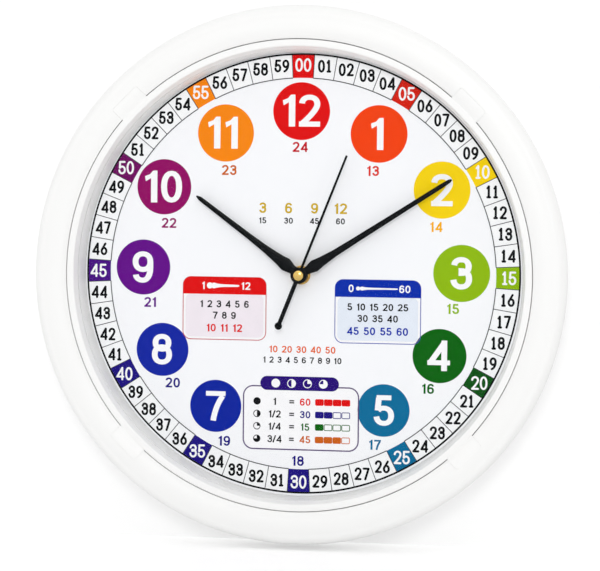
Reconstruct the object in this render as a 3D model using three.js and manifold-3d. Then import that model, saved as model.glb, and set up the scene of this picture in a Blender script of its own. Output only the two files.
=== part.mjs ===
// Round classroom wall clock: a hollow moulded case with a clipped-in lens ring and a clear lens,
// a dial sheet, three hands, and a battery movement with its whole gear train. Lengths are in millimetres.
// Every piece is drawn in the dial's frame: x to the right, y up the dial, z out of the wall to the reader.
import * as THREE from "three";
import { mergeVertices } from "three/addons/utils/BufferGeometryUtils.js";
import Module from "manifold-3d";

const wasm = await Module();
wasm.setup();

const degree = Math.PI / 180;
const fullTurn = 2 * Math.PI;

// Fineness of the round shapes
const ringSides = 52;
const discSides = 24;
const shaftSides = 16;
const pinSides = 10;
const arcSteps = 3;
const hiddenSteps = 2; // on the unseen inside of the case
const mergeDistance = 1e-4;

// Fits between the pieces
const overrun = 1; // how far a cutting solid runs past what it cuts
const seat = 0.1; // gap between two faces that rest on each other
const shaftPlay = 0.06; // gap round a shaft that turns in its hole
const pressGap = 0.03; // gap round a tube that a hub is pressed on
const layerGap = 0.5; // gap between one wheel and the next along the arbors
const meshOverlap = 0.2; // how far a pinion stands past the wheel that it drives

// Case
const caseRadius = 152.5;
const sideTaper = 8.7; // how far the side draws in towards the wall
const caseWall = 2.2;
const caseFillet = 5.5; // rounded edge between side and front
const crestFallInside = 2; // from the crest of the bezel down to the seam
const crestFallOutside = 0.9; // from the crest down to the rounded edge
const crestShare = 0.53; // place of the crest between seam and rounded edge
const seamWidth = 0.5; // open line between case and lens ring
const plateThickness = 1.9; // plate that carries the dial
const ribCount = 8;
const ribThickness = 1.8;
const ribDepth = 5;
const ringRibShare = 0.6; // of the dial plate's radius
const frameDepth = 6; // square collar that holds the movement
const frameClearance = 0.4;

// Wall hanger
const hookInset = 2.3; // from the dial's edge in to the hook
const hookRadius = 2.5; // half the width of the keyhole's slot
const keyholeRadius = 5;
const keyholeDrop = 10; // from the slot's end down to the round hole
const hangerHalfWidth = 13;
const hangerThickness = 1.4;
const hangerInset = 1; // from the wall to the back of the bridge
const hangerMargin = 1.5; // metal above and below the keyhole
const hangerFoot = 6;

// Lens ring and lens
const bezelWidth = 22.7; // from the lens out to the side of the case
const lensThickness = 1.4;
const lensLedge = 2.1; // width of the ledge under the lens
const lensPlay = 0.6; // room round the lens
const lensClearance = 0.9; // from the cap of the second hand to the lens
const ringRise = 4.5; // from the lens up to the seam
const ringLipWidth = 3.5; // from the seam in to the rounded lip
const ringSkirt = 3.4; // depth of the ring's outer skirt
const lipRounding = 1;
const tabWidth = 19.5;
const tabReach = 7.5; // from the seam out to the end of a tab
const tabThickness = 2;
const tabCorner = 1.5;
const tabGap = 0.15;
const tabCount = 4;

// Dial
const dialInset = 3.5; // from the edge of the lens in to the dial's edge
const dialThickness = 0.3;

// Battery cell, which sets the size of the movement
const cellRadius = 7.1;
const cellLength = 49.5;
const cellNubRadius = 2.75;
const cellNubLength = 1;
const cellPlay = 0.4;
const contactRoom = 1.55;
const contactThickness = 0.4;
const contactWidth = 8;

// Movement
const wallGap = 2.6; // from the wall to the movement
const movementWall = 1.2;
const movementFace = 1.4; // thickness of the wall that the bushing stands in
const coverThickness = 1.4;
const movementCorner = 3;
const trainRoomAbove = 26.8;
const trainRoomBelow = 10.6;
const gearPlateThickness = 1;
const postRadius = 1.2;
const pivotPostRadius = 0.9;
const pivotRadius = 0.35;
const pivotLength = 1.4;
const boardThickness = 1;
const boardWidth = 17;
const boardHeight = 13;
const crystalRadius = 1.5;
const crystalLength = 8;
const knobRadius = 7;
const knobThickness = 1.8;
const knobInset = 0.2;
const knobRidges = 20;

// Fixing on the dial
const rubberThickness = 0.6;
const rubberRadius = 8;
const bushingRadius = 3.95;
const bushingFlangeRadius = 5;
const bushingFlange = 0.9;
const bushingProud = 0.5; // how far the bushing stands out of its nut
const washerThickness = 0.5;
const washerRadius = 5.4;
const nutThickness = 2.2;
const nutAcrossFlats = 9.2;
const holeClearance = 0.15;

// Gear train: teeth, and the distances between arbors that set the tooth size
const rotorTeeth = 6;
const intermediateTeeth = 36;
const intermediatePinionTeeth = 6;
const secondTeeth = 30;
const secondPinionTeeth = 8;
const thirdTeeth = 60;
const thirdPinionTeeth = 6;
const centreTeeth = 48;
const cannonTeeth = 12;
const minuteTeeth = 36;
const minutePinionTeeth = 10;
const hourTeeth = 40;
const rotorDistance = 7;
const thirdDistance = 9.9;
const minuteDistance = 7.5;
const rotorAngle = 240; // each angle is measured at the arbor before it, from the dial's right
const intermediateAngle = 150;
const thirdAngle = 60;
const minuteAngle = 0;
const settingAngle = -20;
const addendumShare = 0.8; // tooth height above and below the rolling circle, in modules
const dedendumShare = 1.4;
const toothTipShare = 0.06; // half width of a tooth at its tip, in pitches
const wheelThickness = 0.6;
const arborRadius = 0.5;
const minuteTubeRadius = 1.6;
const hourTubeRadius = 2.5;
const clutchRoom = 1;
const clutchRadius = 3.2;

// Stepping motor
const magnetRadius = 2.5;
const magnetLength = 3;
const statorGap = 0.6; // air gap round the magnet
const statorWeb = 1.3;
const statorThickness = 0.8;
const statorArm = 3.2;
const coilLength = 11.6;
const coilRadius = 3.2;
const coilFlangeRadius = 3.6;
const coilFlange = 0.8;
const spoolRadius = 2.2;
const coreWidth = 3.2;
const coreThickness = 0.8;

// Hands
const handThickness = 0.9;
const handEdge = 0.35; // height of a hand's edge beside its ridge
const handGap = 1; // from one hand to the next
const hourHandReach = 51.3; // from the tip out to the dial's edge
const hourHandHalfWidth = 3.9;
const hourHubRadius = 4.3;
const hourHandAngle = 306.3;
const minuteHandReach = 23.8;
const minuteHandHalfWidth = 3.5;
const minuteHubRadius = 3.9;
const minuteHandAngle = 57.4;
const secondHandReach = 53;
const secondHandHalfWidth = 0.75;
const secondHandAngle = 21.6;
const secondTailLength = 31;
const secondTailHalfWidth = 1.2;
const secondBallRadius = 2.15;
const secondHubRadius = 4.65;
const secondBladeThickness = 0.35;
const capRadius = 2.9;
const capHeight = 1.5;

// Half widths along the two ridged hands, as shares of the length and of the widest half width
const minuteHandShares = [
  [0, 0.58],
  [0.056, 0.66],
  [0.078, 0.85],
  [0.1, 1],
  [0.145, 0.79],
  [0.19, 0.67],
  [0.24, 0.565],
  [0.39, 0.485],
  [0.7, 0.4],
  [0.93, 0.37],
  [0.985, 0.3],
  [1, 0.12],
];
const hourHandShares = [
  [0, 0.6],
  [0.076, 0.68],
  [0.107, 0.85],
  [0.137, 1],
  [0.19, 0.8],
  [0.26, 0.655],
  [0.35, 0.53],
  [0.5, 0.43],
  [0.9, 0.335],
  [0.965, 0.31],
  [1, 0.1],
];

// Heights above the wall, from the movement out to the reader
const cellHeight = wallGap + seat + cellRadius;
const movementFront = cellHeight + cellRadius + seat + movementFace;
const roomFront = movementFront - movementFace;
const shellBack = wallGap + coverThickness + seat;
const plateBack = movementFront + seat + rubberThickness + seat;
const plateFront = plateBack + plateThickness;
const dialFront = plateFront + seat + dialThickness;
const nutBack = dialFront + seat + washerThickness + seat;
const bushingFront = nutBack + nutThickness + bushingProud;
const hourHandBack = bushingFront + handGap / 2;
const minuteHandBack = hourHandBack + handThickness + handGap;
const secondHandBack = minuteHandBack + handThickness + handGap;
const capBack = secondHandBack + handThickness + seat;
const lensBack = capBack + capHeight + lensClearance;
const lensFront = lensBack + lensThickness;
const seamHeight = lensFront + ringRise;
const caseDepth = seamHeight + crestFallInside;

// Heights of the wheels, from the bushing's flange back to the bearing plate
const flangeBack = roomFront - seat - bushingFlange;
const hourWheelFront = flangeBack - layerGap;
const minuteWheelFront = hourWheelFront - wheelThickness - layerGap;
const minuteWheelBack = minuteWheelFront - wheelThickness;
const centreWheelFront = minuteWheelBack - clutchRoom;
const centreWheelBack = centreWheelFront - wheelThickness;
const thirdWheelFront = centreWheelBack - layerGap - meshOverlap;
const thirdWheelBack = thirdWheelFront - wheelThickness;
const secondWheelFront = thirdWheelBack - layerGap - meshOverlap;
const secondWheelBack = secondWheelFront - wheelThickness;
const intermediateFront = secondWheelBack - layerGap - meshOverlap;
const intermediateBack = intermediateFront - wheelThickness;
const gearPlateFront = intermediateBack - layerGap - meshOverlap;
const gearPlateBack = gearPlateFront - gearPlateThickness;

// Radii of the case, ring and dial, from the side of the case inwards
const caseBackRadius = caseRadius - sideTaper;
const lensRadius = caseRadius - bezelWidth;
const dialRadius = lensRadius - dialInset;
const caseSeamRadius = lensRadius + lensPlay + ringLipWidth - seamWidth / 2;
const ringRadius = caseSeamRadius - seamWidth;
const seamRadius = caseSeamRadius - seamWidth / 2;
const filletStart = caseRadius - caseFillet;
const crestRadius = seamRadius + (filletStart - seamRadius) * crestShare;
const shoulderRadius = lensRadius + lensPlay;
const ledgeRadius = lensRadius - lensLedge;
const floorRadius = dialRadius + 3 * seat;
const plateRadius = floorRadius + caseWall;
const rebateHeight = seamHeight - ringSkirt;
const ringRibRadius = plateRadius * ringRibShare;
const hookHeight = dialRadius - hookInset; // from the hands' axis up to the hook

// Lengths of the hands
const hourHandLength = dialRadius - hourHandReach;
const minuteHandLength = dialRadius - minuteHandReach;
const secondHandLength = dialRadius - secondHandReach;

// Places of the arbors on the dial plane
const axis = new THREE.Vector2();
const centreModule = (2 * thirdDistance) / (thirdPinionTeeth + centreTeeth);
const centreTip = tipRadius(centreModule, centreTeeth);
const intermediateDistance = centreTip + pivotPostRadius + layerGap;
const intermediateSpot = spotFrom(axis, intermediateDistance, intermediateAngle);
const rotorSpot = spotFrom(intermediateSpot, rotorDistance, rotorAngle);
const thirdSpot = spotFrom(axis, thirdDistance, thirdAngle);
const minuteSpot = spotFrom(axis, minuteDistance, minuteAngle);
const settingSpot = spotFrom(minuteSpot, minuteDistance, settingAngle);

// Tooth sizes that the arbor distances give
const rotorModule = (2 * rotorDistance) / (rotorTeeth + intermediateTeeth);
const secondModule = (2 * intermediateDistance) / (intermediatePinionTeeth + secondTeeth);
const thirdModule = (2 * thirdDistance) / (secondPinionTeeth + thirdTeeth);
const cannonModule = (2 * minuteDistance) / (cannonTeeth + minuteTeeth);
const hourModule = (2 * minuteDistance) / (minutePinionTeeth + hourTeeth);

// Outline of the movement
const bayHeight = 2 * (cellRadius + cellPlay);
const cellSpan = cellLength + cellNubLength;
const movementHalf = cellSpan / 2 + contactRoom + movementWall;
const movementTop = trainRoomAbove + movementWall;
const bayTop = -trainRoomBelow - movementWall;
const bayBottom = bayTop - bayHeight;
const movementBottom = bayBottom - movementWall;
const bayHalf = movementHalf - movementWall;
const bayMiddle = (bayTop + bayBottom) / 2;

// Places of the motor
const statorHole = magnetRadius + statorGap;
const statorRight = rotorSpot.x + statorHole + statorWeb;
const statorLeft = rotorSpot.x - statorHole - statorWeb;
const coilX = statorLeft - layerGap - coilFlangeRadius;
const coilY = rotorSpot.y + statorWeb / 2;
const statorBack = secondWheelFront + layerGap;
const statorFront = statorBack + statorThickness;
const coilHeight = statorFront + seat + coreThickness / 2;
const magnetBack = statorBack - (magnetLength - statorThickness) / 2;

function spotFrom(start, distance, angle) {
  const heading = new THREE.Vector2(Math.cos(angle * degree), Math.sin(angle * degree));
  return heading.multiplyScalar(distance).add(start);
}

function tipRadius(module, teeth) {
  return module * (teeth / 2 + addendumShare);
}

function shares(count) {
  return Array.from({ length: count + 1 }, (_, step) => step / count);
}

// Solids

function solid(geometry) {
  const bare = new THREE.BufferGeometry().setAttribute("position", geometry.getAttribute("position"));
  if (geometry.index) bare.setIndex(geometry.index);
  const merged = mergeVertices(bare, mergeDistance);
  const vertProperties = merged.getAttribute("position").array;
  const triVerts = new Uint32Array(merged.index.array);
  return new wasm.Manifold(new wasm.Mesh({ numProp: 3, vertProperties, triVerts }));
}

function join(first, ...others) {
  return others.reduce((whole, other) => whole.add(other), first);
}

function cut(first, ...others) {
  return others.reduce((whole, other) => whole.subtract(other), first);
}

// Turns a closed outline of [radius, height] points about the z axis.
function turned(outline, sides = shaftSides) {
  const points = outline.map(([radius, height]) => new THREE.Vector2(radius, height));
  if (THREE.ShapeUtils.isClockWise(points)) points.reverse();
  const onAxis = outline.some(([radius]) => radius === 0);
  while (onAxis && (points[0].x > 0 || points.at(-1).x > 0)) points.push(points.shift());
  if (!onAxis) points.push(points[0].clone());
  const geometry = new THREE.LatheGeometry(points, sides);
  geometry.rotateX(Math.PI / 2);
  return solid(geometry);
}

function barrel(radius, back, front, sides = shaftSides) {
  return turned([[0, back], [radius, back], [radius, front], [0, front]], sides);
}

function sleeve(hole, radius, back, front, sides = shaftSides) {
  return turned([[hole, back], [radius, back], [radius, front], [hole, front]], sides);
}

function prism(shape, back, front) {
  const geometry = new THREE.ExtrudeGeometry(shape, {
    depth: front - back,
    bevelEnabled: false,
    curveSegments: arcSteps,
  });
  geometry.translate(0, 0, back);
  return solid(geometry);
}

function block(left, right, bottom, top, back, front) {
  const geometry = new THREE.BoxGeometry(right - left, top - bottom, front - back);
  geometry.translate((left + right) / 2, (bottom + top) / 2, (back + front) / 2);
  return solid(geometry);
}

function roundedRectangle(left, right, bottom, top, corner) {
  const shape = new THREE.Shape();
  shape.absarc(right - corner, top - corner, corner, 0, Math.PI / 2);
  shape.absarc(left + corner, top - corner, corner, Math.PI / 2, Math.PI);
  shape.absarc(left + corner, bottom + corner, corner, Math.PI, 1.5 * Math.PI);
  shape.absarc(right - corner, bottom + corner, corner, 1.5 * Math.PI, fullTurn);
  shape.closePath();
  return shape;
}

function outlineShape(points) {
  return new THREE.Shape(points.map(([x, y]) => new THREE.Vector2(x, y)));
}

function moved(body, spot) {
  return body.translate([spot.x, spot.y, 0]);
}

// A hole whose flats still clear a round shaft of this radius at every turn.
function boreFor(radius, sides = shaftSides, gap = shaftPlay) {
  return radius / Math.cos(Math.PI / sides) + gap;
}

// A slender shaft or post, and the hole that a slender shaft turns in.
function pin(radius, back, front) {
  return barrel(radius, back, front, pinSides);
}

function pinHole(radius, back, front) {
  return pin(boreFor(radius, pinSides), back - overrun, front + overrun);
}

// A post that stands back from the movement's face, with a blind hole for a pivot.
function pivotPost(spot, back) {
  const whole = pin(pivotPostRadius, back, roomFront + seat);
  const blind = pin(boreFor(pivotRadius, pinSides), back - overrun, back + pivotLength);
  return moved(cut(whole, blind), spot);
}

// A toothed rim: straight-sided teeth about the rolling circle, with a narrow foot between them.
function toothed(teeth, module, phase, back, front) {
  const pitch = (module * teeth) / 2;
  const tip = pitch + addendumShare * module;
  const root = pitch - dedendumShare * module;
  const corners = [
    [tip, -toothTipShare],
    [tip, toothTipShare],
    [root, 1 / 2],
  ];
  const points = [];
  for (let tooth = 0; tooth < teeth; tooth++) {
    for (const [radius, share] of corners) {
      const angle = phase + ((tooth + share) * fullTurn) / teeth;
      points.push([radius * Math.cos(angle), radius * Math.sin(angle)]);
    }
  }
  return prism(outlineShape(points), back, front);
}

// The angle at which a wheel's teeth fall in the gaps of the one before it, in that one's direction.
function meshPhase(teethBefore, phaseBefore, teeth, direction) {
  const toothPlace = ((direction - phaseBefore) * teethBefore) / fullTurn;
  return direction + Math.PI - (fullTurn / teeth) * (1 / 2 - toothPlace);
}

function directionTo(from, to) {
  return Math.atan2(to.y - from.y, to.x - from.x);
}

// Case

function faceHeight(radius) {
  const inside = radius < crestRadius;
  const fall = inside ? crestFallInside : crestFallOutside;
  const reach = inside ? crestRadius - seamRadius : filletStart - crestRadius;
  return caseDepth - fall * ((radius - crestRadius) / reach) ** 2;
}

function facePoints(from, to, drop = 0, steps = arcSteps) {
  return shares(steps).map((share) => {
    const radius = from + (to - from) * share;
    return [radius, faceHeight(radius) - drop];
  });
}

const sideTop = caseDepth - crestFallOutside - caseFillet;

function sideRadius(height) {
  const share = Math.min(1, height / sideTop);
  return caseBackRadius + (caseRadius - caseBackRadius) * Math.sin((share * Math.PI) / 2);
}

function edgePoints(radius, steps = arcSteps) {
  return shares(steps).map((share) => {
    const angle = (share * Math.PI) / 2;
    return [filletStart + radius * Math.cos(angle), sideTop + radius * Math.sin(angle)];
  });
}

function caseOutline() {
  const outer = shares(arcSteps).map((share) => [sideRadius(share * sideTop), share * sideTop]);
  const inner = shares(hiddenSteps).map((share) => share * sideTop);
  return [
    ...outer,
    ...edgePoints(caseFillet).slice(1),
    ...facePoints(filletStart, caseSeamRadius).slice(1),
    [caseSeamRadius, rebateHeight],
    [shoulderRadius, rebateHeight],
    [shoulderRadius, lensBack - seat],
    [ledgeRadius, lensBack - seat],
    [floorRadius, plateFront + seat],
    [plateRadius, plateFront + seat],
    [shoulderRadius + caseWall, lensBack - caseWall],
    [caseSeamRadius + caseWall, rebateHeight - caseWall],
    ...facePoints(caseSeamRadius + caseWall, filletStart, caseWall, 1),
    ...edgePoints(caseFillet - caseWall, hiddenSteps).reverse().slice(1, -1),
    ...inner.reverse().map((height) => [sideRadius(height) - caseWall, height]),
  ];
}

function ribAngles() {
  return shares(ribCount).slice(1).map((share) => 360 * share - 180 / ribCount);
}

// Stands an outline of [radius, height] points up as a rib of even thickness.
function radialRib(points, angle) {
  const upright = prism(outlineShape(points), -ribThickness / 2, ribThickness / 2);
  return upright.rotate([90, 0, 0]).rotate([0, 0, angle]);
}

// A gusset across the channel behind the bezel, which also centres the dial plate.
function caseGusset(angle) {
  const back = plateBack - ribDepth;
  const top = rebateHeight - caseWall + seat;
  const inner = plateRadius + 3 * seat;
  const points = [
    [inner, back],
    [sideRadius(back) - caseWall / 2, back],
    [sideRadius(top) - caseWall / 2, top],
    [shoulderRadius + caseWall / 2, top],
    [inner, plateFront + 2 * ribThickness],
  ];
  return radialRib(points, angle);
}

function plateRib(angle) {
  const back = plateBack - ribDepth;
  const points = [
    [movementHalf, plateBack + seat],
    [movementHalf, back],
    [plateRadius - 2 * ribDepth, back],
    [plateRadius - ribDepth / 2, plateBack + seat],
  ];
  return radialRib(points, angle);
}

function ringRib() {
  const outer = ringRibRadius + ribThickness;
  return sleeve(ringRibRadius, outer, plateBack - ribDepth, plateBack + seat, discSides);
}

// The movement's outline, grown on all sides, from the back of its collar to a given height.
function grownMovement(growth, front) {
  const half = movementHalf + growth;
  const corner = movementCorner + growth;
  const shape = roundedRectangle(-half, half, movementBottom - growth, movementTop + growth, corner);
  return prism(shape, plateBack - frameDepth, front);
}

function bushingHole(back, front) {
  return barrel(bushingRadius + holeClearance, back - overrun, front + overrun);
}

function dialPlate() {
  const collar = grownMovement(frameClearance + ribThickness, plateBack + seat);
  const ribs = ribAngles().map(plateRib);
  const walls = cut(join(collar, ...ribs, ringRib()), grownMovement(frameClearance, plateBack));
  const plate = barrel(plateRadius, plateBack, plateFront, ringSides);
  return cut(join(plate, walls), bushingHole(plateBack, plateFront));
}

function keyhole() {
  const shape = new THREE.Shape();
  const meet = Math.asin(hookRadius / keyholeRadius);
  const holeHeight = hookHeight - keyholeDrop;
  shape.absarc(0, hookHeight, hookRadius, 0, Math.PI);
  shape.absarc(0, holeHeight, keyholeRadius, Math.PI / 2 + meet, Math.PI / 2 - meet + fullTurn);
  shape.closePath();
  return shape;
}

// A bent steel bridge with the keyhole, whose two legs stand on feet against the dial plate's back.
function wallHanger() {
  const bottom = hookHeight - keyholeDrop - keyholeRadius - hangerMargin;
  const top = hookHeight + hookRadius + hangerMargin;
  const foot = plateBack - seat;
  const bridge = hangerInset + hangerThickness;
  const sheet = hangerHalfWidth + hangerFoot;
  const outside = join(
    block(-hangerHalfWidth, hangerHalfWidth, bottom, top, hangerInset, foot),
    block(-sheet, sheet, bottom, top, foot - hangerThickness, foot),
  );
  const room = hangerHalfWidth - hangerThickness;
  const inside = block(-room, room, bottom - overrun, top + overrun, bridge, foot + overrun);
  return cut(outside, inside, prism(keyhole(), hangerInset - overrun, bridge + overrun));
}

// Room in the bezel for one tab of the lens ring, and with no gap the outline of the tab itself.
function tabPrism(gap, back, front) {
  const half = tabWidth / 2 + gap;
  const inner = ringRadius - tabReach;
  const shape = roundedRectangle(inner, seamRadius + tabReach + gap, -half, half, tabCorner + gap);
  return prism(shape, back, front);
}

function tabAngles() {
  return shares(tabCount).slice(1).map((share) => 360 * share - 180 / tabCount);
}

function tabPockets() {
  const floor = seamHeight - tabThickness - seat;
  return tabAngles().map((angle) => tabPrism(tabGap, floor, caseDepth + overrun).rotate([0, 0, angle]));
}

function caseShell() {
  const shell = turned(caseOutline(), ringSides);
  return cut(join(shell, ...ribAngles().map(caseGusset)), ...tabPockets());
}

// Lens ring

function lensRingOutline() {
  const foot = lensFront + seat;
  const lipInner = ringRadius - ringLipWidth - lipRounding + seamWidth;
  const rounding = shares(arcSteps).map((share) => {
    const angle = (share * Math.PI) / 2;
    const radius = lipInner + lipRounding - lipRounding * Math.cos(angle);
    return [radius, seamHeight - lipRounding + lipRounding * Math.sin(angle)];
  });
  return [
    [ledgeRadius + seat, foot],
    ...rounding,
    [ringRadius, seamHeight],
    [ringRadius, rebateHeight + seat],
    [shoulderRadius - 3 * seat, rebateHeight + seat],
    [shoulderRadius - 3 * seat, foot],
  ];
}

// The bezel's own surface layer, from which the tabs are cut so that they lie flush in it.
function bezelLayer() {
  const outer = seamRadius + tabReach + tabCorner;
  const inner = ringRadius - caseWall;
  const floor = seamHeight - tabThickness;
  const top = facePoints(seamRadius, outer);
  return turned([[inner, floor], [outer, floor], ...top.reverse(), [inner, seamHeight]], ringSides);
}

function lensRing() {
  const layer = bezelLayer();
  const tabs = tabAngles().map((angle) => {
    const outline = tabPrism(0, seamHeight - tabThickness - overrun, caseDepth + overrun);
    return layer.intersect(outline.rotate([0, 0, angle]));
  });
  return join(turned(lensRingOutline(), ringSides), ...tabs);
}

function frontLens() {
  return barrel(lensRadius, lensBack, lensFront, ringSides);
}

function dialSheet() {
  const card = barrel(dialRadius, plateFront + seat, dialFront, ringSides);
  return cut(card, bushingHole(plateFront, dialFront));
}

// Movement housing

function movementOutline() {
  return roundedRectangle(-movementHalf, movementHalf, movementBottom, movementTop, movementCorner);
}

function platePosts() {
  const clear = postRadius + 2 * layerGap;
  const minuteTip = tipRadius(cannonModule, minuteTeeth);
  const thirdTip = tipRadius(thirdModule, thirdTeeth);
  const intermediateTip = tipRadius(rotorModule, intermediateTeeth);
  const secondTip = tipRadius(secondModule, secondTeeth);
  return [
    spotFrom(axis, secondTip + clear, rotorAngle - 6),
    spotFrom(minuteSpot, minuteTip + clear, -73),
    spotFrom(thirdSpot, thirdTip + clear, thirdAngle - 15),
    spotFrom(intermediateSpot, intermediateTip + clear, 71),
  ];
}

const boardLeft = -bayHalf + 2 * layerGap;
const boardTop = trainRoomAbove - 2 * layerGap;
const boardFront = roomFront - 5 * boardThickness;

function boardPosts() {
  const inset = postRadius + layerGap;
  return [
    new THREE.Vector2(boardLeft + inset, boardTop - inset),
    new THREE.Vector2(boardLeft + boardWidth - inset, boardTop - boardHeight + inset),
  ];
}

function statorPosts() {
  const inset = postRadius + layerGap;
  return [
    new THREE.Vector2(statorRight - statorWeb - inset, coilY - coilLength / 2 - statorArm / 2),
    new THREE.Vector2(statorLeft + inset, coilY + coilLength / 2 + statorArm / 2),
  ];
}

function post(spot, back) {
  return moved(pin(postRadius, back, roomFront + seat), spot);
}

function movementCase() {
  const full = prism(movementOutline(), shellBack, movementFront);
  const room = block(-bayHalf, bayHalf, -trainRoomBelow, trainRoomAbove, shellBack - overrun, roomFront);
  const bay = block(-bayHalf, bayHalf, bayBottom, bayTop, shellBack - overrun, roomFront);
  const shell = cut(full, room, bay, bushingHole(roomFront, movementFront));
  const minutePost = moved(pin(arborRadius, minuteWheelBack, roomFront + seat), minuteSpot);
  const minuteCollar = post(minuteSpot, hourWheelFront + layerGap);
  return join(
    shell,
    ...platePosts().map((spot) => post(spot, gearPlateFront + seat)),
    ...boardPosts().map((spot) => post(spot, boardFront + seat)),
    ...statorPosts().map((spot) => post(spot, statorFront + seat)),
    pivotPost(thirdSpot, centreWheelFront + layerGap),
    pivotPost(intermediateSpot, secondWheelFront + layerGap),
    pivotPost(rotorSpot, magnetBack + magnetLength + layerGap),
    pivotPost(settingSpot, minuteWheelFront + layerGap),
    minutePost,
    minuteCollar,
  );
}

function movementCover() {
  const plate = prism(movementOutline(), wallGap, shellBack - seat);
  const rim = movementWall / 2;
  const room = (inset, back, front) =>
    block(inset - bayHalf, bayHalf - inset, inset - trainRoomBelow, trainRoomAbove - inset, back, front);
  const lip = cut(room(seat, wallGap + seat, shellBack + rim), room(rim, wallGap, shellBack + overrun));
  const window = block(-bayHalf, bayHalf, bayBottom, bayTop, wallGap - overrun, shellBack + overrun);
  const hole = moved(pinHole(arborRadius, wallGap, shellBack), settingSpot);
  return cut(join(plate, lip), window, hole);
}

function gearPlate() {
  const posts = platePosts();
  const edge = postRadius + seat;
  const left = rotorSpot.x - postRadius * 2;
  const right = Math.max(...posts.map((spot) => spot.x)) + edge;
  const bottom = Math.max(seat * 3 - trainRoomBelow, Math.min(...posts.map((spot) => spot.y)) - edge);
  const top = Math.max(...posts.map((spot) => spot.y)) + edge;
  const plate = prism(roundedRectangle(left, right, bottom, top, postRadius), gearPlateBack, gearPlateFront);
  const tip = tipRadius(cannonModule, cannonTeeth);
  const hole = (radius, spot) => moved(pinHole(radius, gearPlateBack, gearPlateFront), spot);
  const pivots = [thirdSpot, intermediateSpot, rotorSpot].map((spot) => hole(pivotRadius, spot));
  return cut(plate, ...pivots, hole(arborRadius, axis), hole(tip + layerGap, settingSpot));
}

function circuitBoard() {
  return block(
    boardLeft,
    boardLeft + boardWidth,
    boardTop - boardHeight,
    boardTop,
    boardFront - boardThickness,
    boardFront,
  );
}

function crystal() {
  const lying = barrel(crystalRadius, -crystalLength / 2, crystalLength / 2).rotate([0, 90, 0]);
  const height = boardFront - boardThickness - seat - crystalRadius;
  return lying.translate([boardLeft + boardWidth / 2, boardTop - boardHeight / 2, height]);
}

// Battery and its contacts

function batteryCell() {
  const edge = cellNubLength / 2;
  const outline = [
    [0, -cellSpan / 2],
    [cellRadius - edge, -cellSpan / 2],
    [cellRadius, edge - cellSpan / 2],
    [cellRadius, cellSpan / 2 - cellNubLength - edge],
    [cellRadius - edge, cellSpan / 2 - cellNubLength],
    [cellNubRadius, cellSpan / 2 - cellNubLength],
    [cellNubRadius, cellSpan / 2],
    [0, cellSpan / 2],
  ];
  return turned(outline).rotate([0, 90, 0]).translate([0, bayMiddle, cellHeight]);
}

function positiveContact() {
  const wallX = bayHalf - seat;
  const plate = block(
    wallX - contactThickness,
    wallX,
    bayMiddle - contactWidth / 2,
    bayMiddle + contactWidth / 2,
    shellBack,
    roomFront - seat,
  );
  const reach = wallX - contactThickness + seat - cellSpan / 2 - seat;
  const dimple = barrel(cellNubRadius, 0, reach).rotate([0, 90, 0]);
  return join(plate, dimple.translate([cellSpan / 2 + seat, bayMiddle, cellHeight]));
}

function negativeContact() {
  const wallX = -bayHalf + seat;
  const bow = -cellSpan / 2 - seat - wallX - contactThickness;
  const reach = roomFront - seat - cellHeight;
  const line = shares(2 * arcSteps).map((share) => {
    const along = 2 * share - 1;
    return [wallX + bow * (1 - along * along), cellHeight + along * reach];
  });
  const front = line.map(([x, height]) => [x + contactThickness, height]);
  const strip = prism(outlineShape([...line, ...front.reverse()]), -contactWidth / 2, contactWidth / 2);
  return strip.rotate([90, 0, 0]).translate([0, bayMiddle, 0]);
}

// Stepping motor

function stator() {
  const low = coilY - coilLength / 2 - seat;
  const high = coilY + coilLength / 2 + seat;
  const left = coilX - coilFlangeRadius;
  const narrow = intermediateSpot.x - pivotPostRadius - 2 * layerGap;
  const step = rotorSpot.y + statorHole + statorWeb / 2;
  const shape = outlineShape([
    [left, low - statorArm],
    [statorRight, low - statorArm],
    [statorRight, step],
    [narrow, step],
    [narrow, high + statorArm],
    [left, high + statorArm],
    [left, high],
    [statorLeft, high],
    [statorLeft, low],
    [left, low],
  ]);
  const hole = moved(barrel(statorHole, statorBack - overrun, statorFront + overrun), rotorSpot);
  return cut(prism(shape, statorBack, statorFront), hole);
}

function coilCore() {
  const reach = coilLength / 2 + seat + statorArm - 3 * seat;
  const back = statorFront + seat;
  const half = coreWidth / 2;
  return block(coilX - half, coilX + half, coilY - reach, coilY + reach, back, back + coreThickness);
}

function alongCoil(body) {
  return body.rotate([90, 0, 0]).translate([coilX, coilY, coilHeight]);
}

function coilBobbin() {
  const end = coilLength / 2;
  const spool = turned([
    [0, -end],
    [coilFlangeRadius, -end],
    [coilFlangeRadius, coilFlange - end],
    [spoolRadius, coilFlange - end],
    [spoolRadius, end - coilFlange],
    [coilFlangeRadius, end - coilFlange],
    [coilFlangeRadius, end],
    [0, end],
  ]);
  const slot = block(
    coilX - coreWidth / 2 - seat,
    coilX + coreWidth / 2 + seat,
    coilY - coilLength,
    coilY + coilLength,
    coilHeight - coreThickness / 2 - seat,
    coilHeight + coreThickness / 2 + seat,
  );
  return cut(alongCoil(spool), slot);
}

function coilWinding() {
  const end = coilLength / 2 - coilFlange - seat;
  return alongCoil(sleeve(spoolRadius + seat, coilRadius, -end, end));
}

// Fixing on the dial

function rubberWasher() {
  return sleeve(bushingRadius + holeClearance, rubberRadius, movementFront + seat, plateBack - seat);
}

function brassWasher() {
  return sleeve(bushingRadius + holeClearance, washerRadius, dialFront + seat, nutBack - seat);
}

function threadedBushing() {
  const hole = boreFor(hourTubeRadius);
  return turned([
    [hole, flangeBack],
    [bushingFlangeRadius, flangeBack],
    [bushingFlangeRadius, roomFront - seat],
    [bushingRadius, roomFront - seat],
    [bushingRadius, bushingFront],
    [hole, bushingFront],
  ]);
}

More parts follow.
